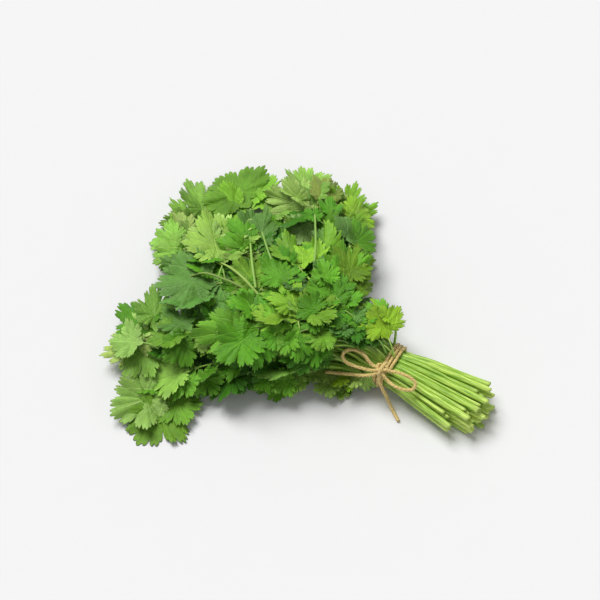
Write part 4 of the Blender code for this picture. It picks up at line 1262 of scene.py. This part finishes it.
def fibres_on(line, count, radius):
    """Fibres that leave the twine sideways and bend along it: root + l (out s + along s^2 + sideways s^2)."""
    spot = fibre_chance.integers(2, len(line) - 2, count)
    way = unit(line[spot + 1] - line[spot - 1])
    out = unit(np.cross(way, fibre_chance.normal(size=(count, 3))))
    lean = fibre_chance.uniform(-1.6, 1.6, (count, 1)) * way + 0.5 * np.cross(way, out)
    long = fibre_chance.uniform(1.2, 3.4, (count, 1, 1)) * MM
    s = np.linspace(0, 1, FIBRE_RINGS)[None, :, None]
    spine = line[spot][:, None] + (0.8 * radius + long * s * 0.7) * out[:, None] + long * s**2 * lean[:, None]
    thick = FIBRE_RADIUS * (1 - 0.8 * s)
    angle = np.arange(FIBRE_SIDES) * 2 * math.pi / FIBRE_SIDES
    side = np.cross(way, out)[:, None, None]
    ring = np.cos(angle)[None, None, :, None] * way[:, None, None] + np.sin(angle)[None, None, :, None] * side
    return (spine[:, :, None] + thick[..., None] * ring).reshape(-1, 3)


def fibre_faces(count):
    """Quads between rings and one triangle at each end, for each fibre."""
    here = np.arange(FIBRE_RINGS * FIBRE_SIDES).reshape(FIBRE_RINGS, FIBRE_SIDES)
    there = np.roll(here, -1, axis=1)
    quads = np.dstack([here[:-1], there[:-1], there[1:], here[1:]]).reshape(-1, 4)
    start = (np.arange(count) * FIBRE_RINGS * FIBRE_SIDES)[:, None, None]
    ends = np.array([here[0, ::-1], here[-1]])
    return (quads + start).reshape(-1, 4).tolist() + (ends + start).reshape(-1, 3).tolist()


fuzzy_lines = [wrap_line, *bow_lines.values()]
FIBRES_EACH = (220, 95, 90, 70, 70)
fibres = np.vstack([fibres_on(line, count, TWINE_RADIUS) for line, count in zip(fuzzy_lines, FIBRES_EACH)])
skin = np.column_stack([fibres[:, :2] * 300, fibres[:, 2]])
put_in_mesh("twine_fuzz", off_the_floor(fibres), fibre_faces(sum(FIBRES_EACH)), "twine", skin=skin)
print(sum(FIBRES_EACH), "loose fibres")

# %% Make the twine's material
DARK_JUTE, LIGHT_JUTE, JUTE_PATCH = (0.345, 0.220, 0.060, 1), (0.96, 0.76, 0.295, 1), (0.51, 0.32, 0.096, 1)
TWINE_RELIEF = 0.3 * MM

nodes, shader = new_finish("jute_twine", pieces_of["twine"])
skin = nodes.attribute("skin")
strands = nodes.noise(nodes.drawn_out(skin, 260.0), 4.0, 4.0)
colour = nodes.blend(nodes.ramp(strands, 0.32, 0.68), DARK_JUTE, LIGHT_JUTE)
colour = nodes.blend(nodes.ramp(nodes.noise(skin, 90.0, 1.0), 0.5, 0.75, 0.0, 0.45), colour, JUTE_PATCH)
nodes.fill(shader, {"Base Color": colour, "Roughness": nodes.ramp(strands, 0.3, 0.7, 0.95, 0.75),
                    "Normal": nodes.bump(strands, 0.8, TWINE_RELIEF),
                    "Specular IOR Level": 0.2, "Sheen Weight": 0.3})
print(len(pieces_of["twine"]), "pieces with the twine's finish")

# %% [markdown]
# ## The floor and the light
# The bunch lies on a plain pale sheet. One very wide lamp stands high behind it on the left, so shadows
# are soft and fall towards the front right. A white surround fills them: it is brightest near the horizon,
# like the curved paper behind a table in a studio.

# %% Lay the floor
FLOOR_HALF = 4.0
mesh = bpy.data.meshes.new("floor")
mesh.from_pydata([(x * FLOOR_HALF, y * FLOOR_HALF, 0) for x, y in ((-1, -1), (1, -1), (1, 1), (-1, 1))],
                 [], [(0, 1, 2, 3)])
floor = bpy.data.objects.new("floor", mesh)
bpy.context.scene.collection.objects.link(floor)
nodes, shader = new_finish("pale_paper", [floor])
grain = nodes.noise(nodes.add("TexCoord").outputs["Object"], 40.0)
colour = nodes.blend(grain, (0.724, 0.723, 0.724, 1), (0.732, 0.731, 0.732, 1))
nodes.fill(shader, {"Base Color": colour, "Roughness": 0.9, "Specular IOR Level": 0.1})

# %% Set the light
BACK = np.array([-math.sin(AZIMUTH), math.cos(AZIMUTH), 0])
LAMP_STRENGTH, LAMP_SPREAD = 3.25, math.radians(34)
lamp = bpy.data.lights.new("wide_lamp", "SUN")
lamp.energy = LAMP_STRENGTH
lamp.angle = LAMP_SPREAD
lamp_stand = bpy.data.objects.new("wide_lamp", lamp)
towards_lamp = BACK * 0.46 - 0.36 * RIGHT + np.array([0, 0, 1.1])
lamp_stand.rotation_mode = "QUATERNION"
lamp_stand.rotation_quaternion = Vector(towards_lamp).to_track_quat("Z", "Y")
bpy.context.scene.collection.objects.link(lamp_stand)

AT_HORIZON, OVERHEAD = 0.94, 0.32
world = bpy.data.worlds.new("bright_surround")
bpy.context.scene.world = world
world.use_nodes = True
nodes = Nodes(world.node_tree)
height = nodes.split(nodes.add("TexCoord").outputs["Generated"])[2]
nodes.fill(world.node_tree.nodes["Background"], {
    "Color": (1.0, 1.0, 1.0, 1), "Strength": nodes.ramp(height, 0.10, 0.34, AT_HORIZON, OVERHEAD)})
bpy.context.scene.view_settings.view_transform = "Standard"
print("lamp at", round(math.degrees(math.asin(unit(towards_lamp)[2]))), "degrees above the floor")
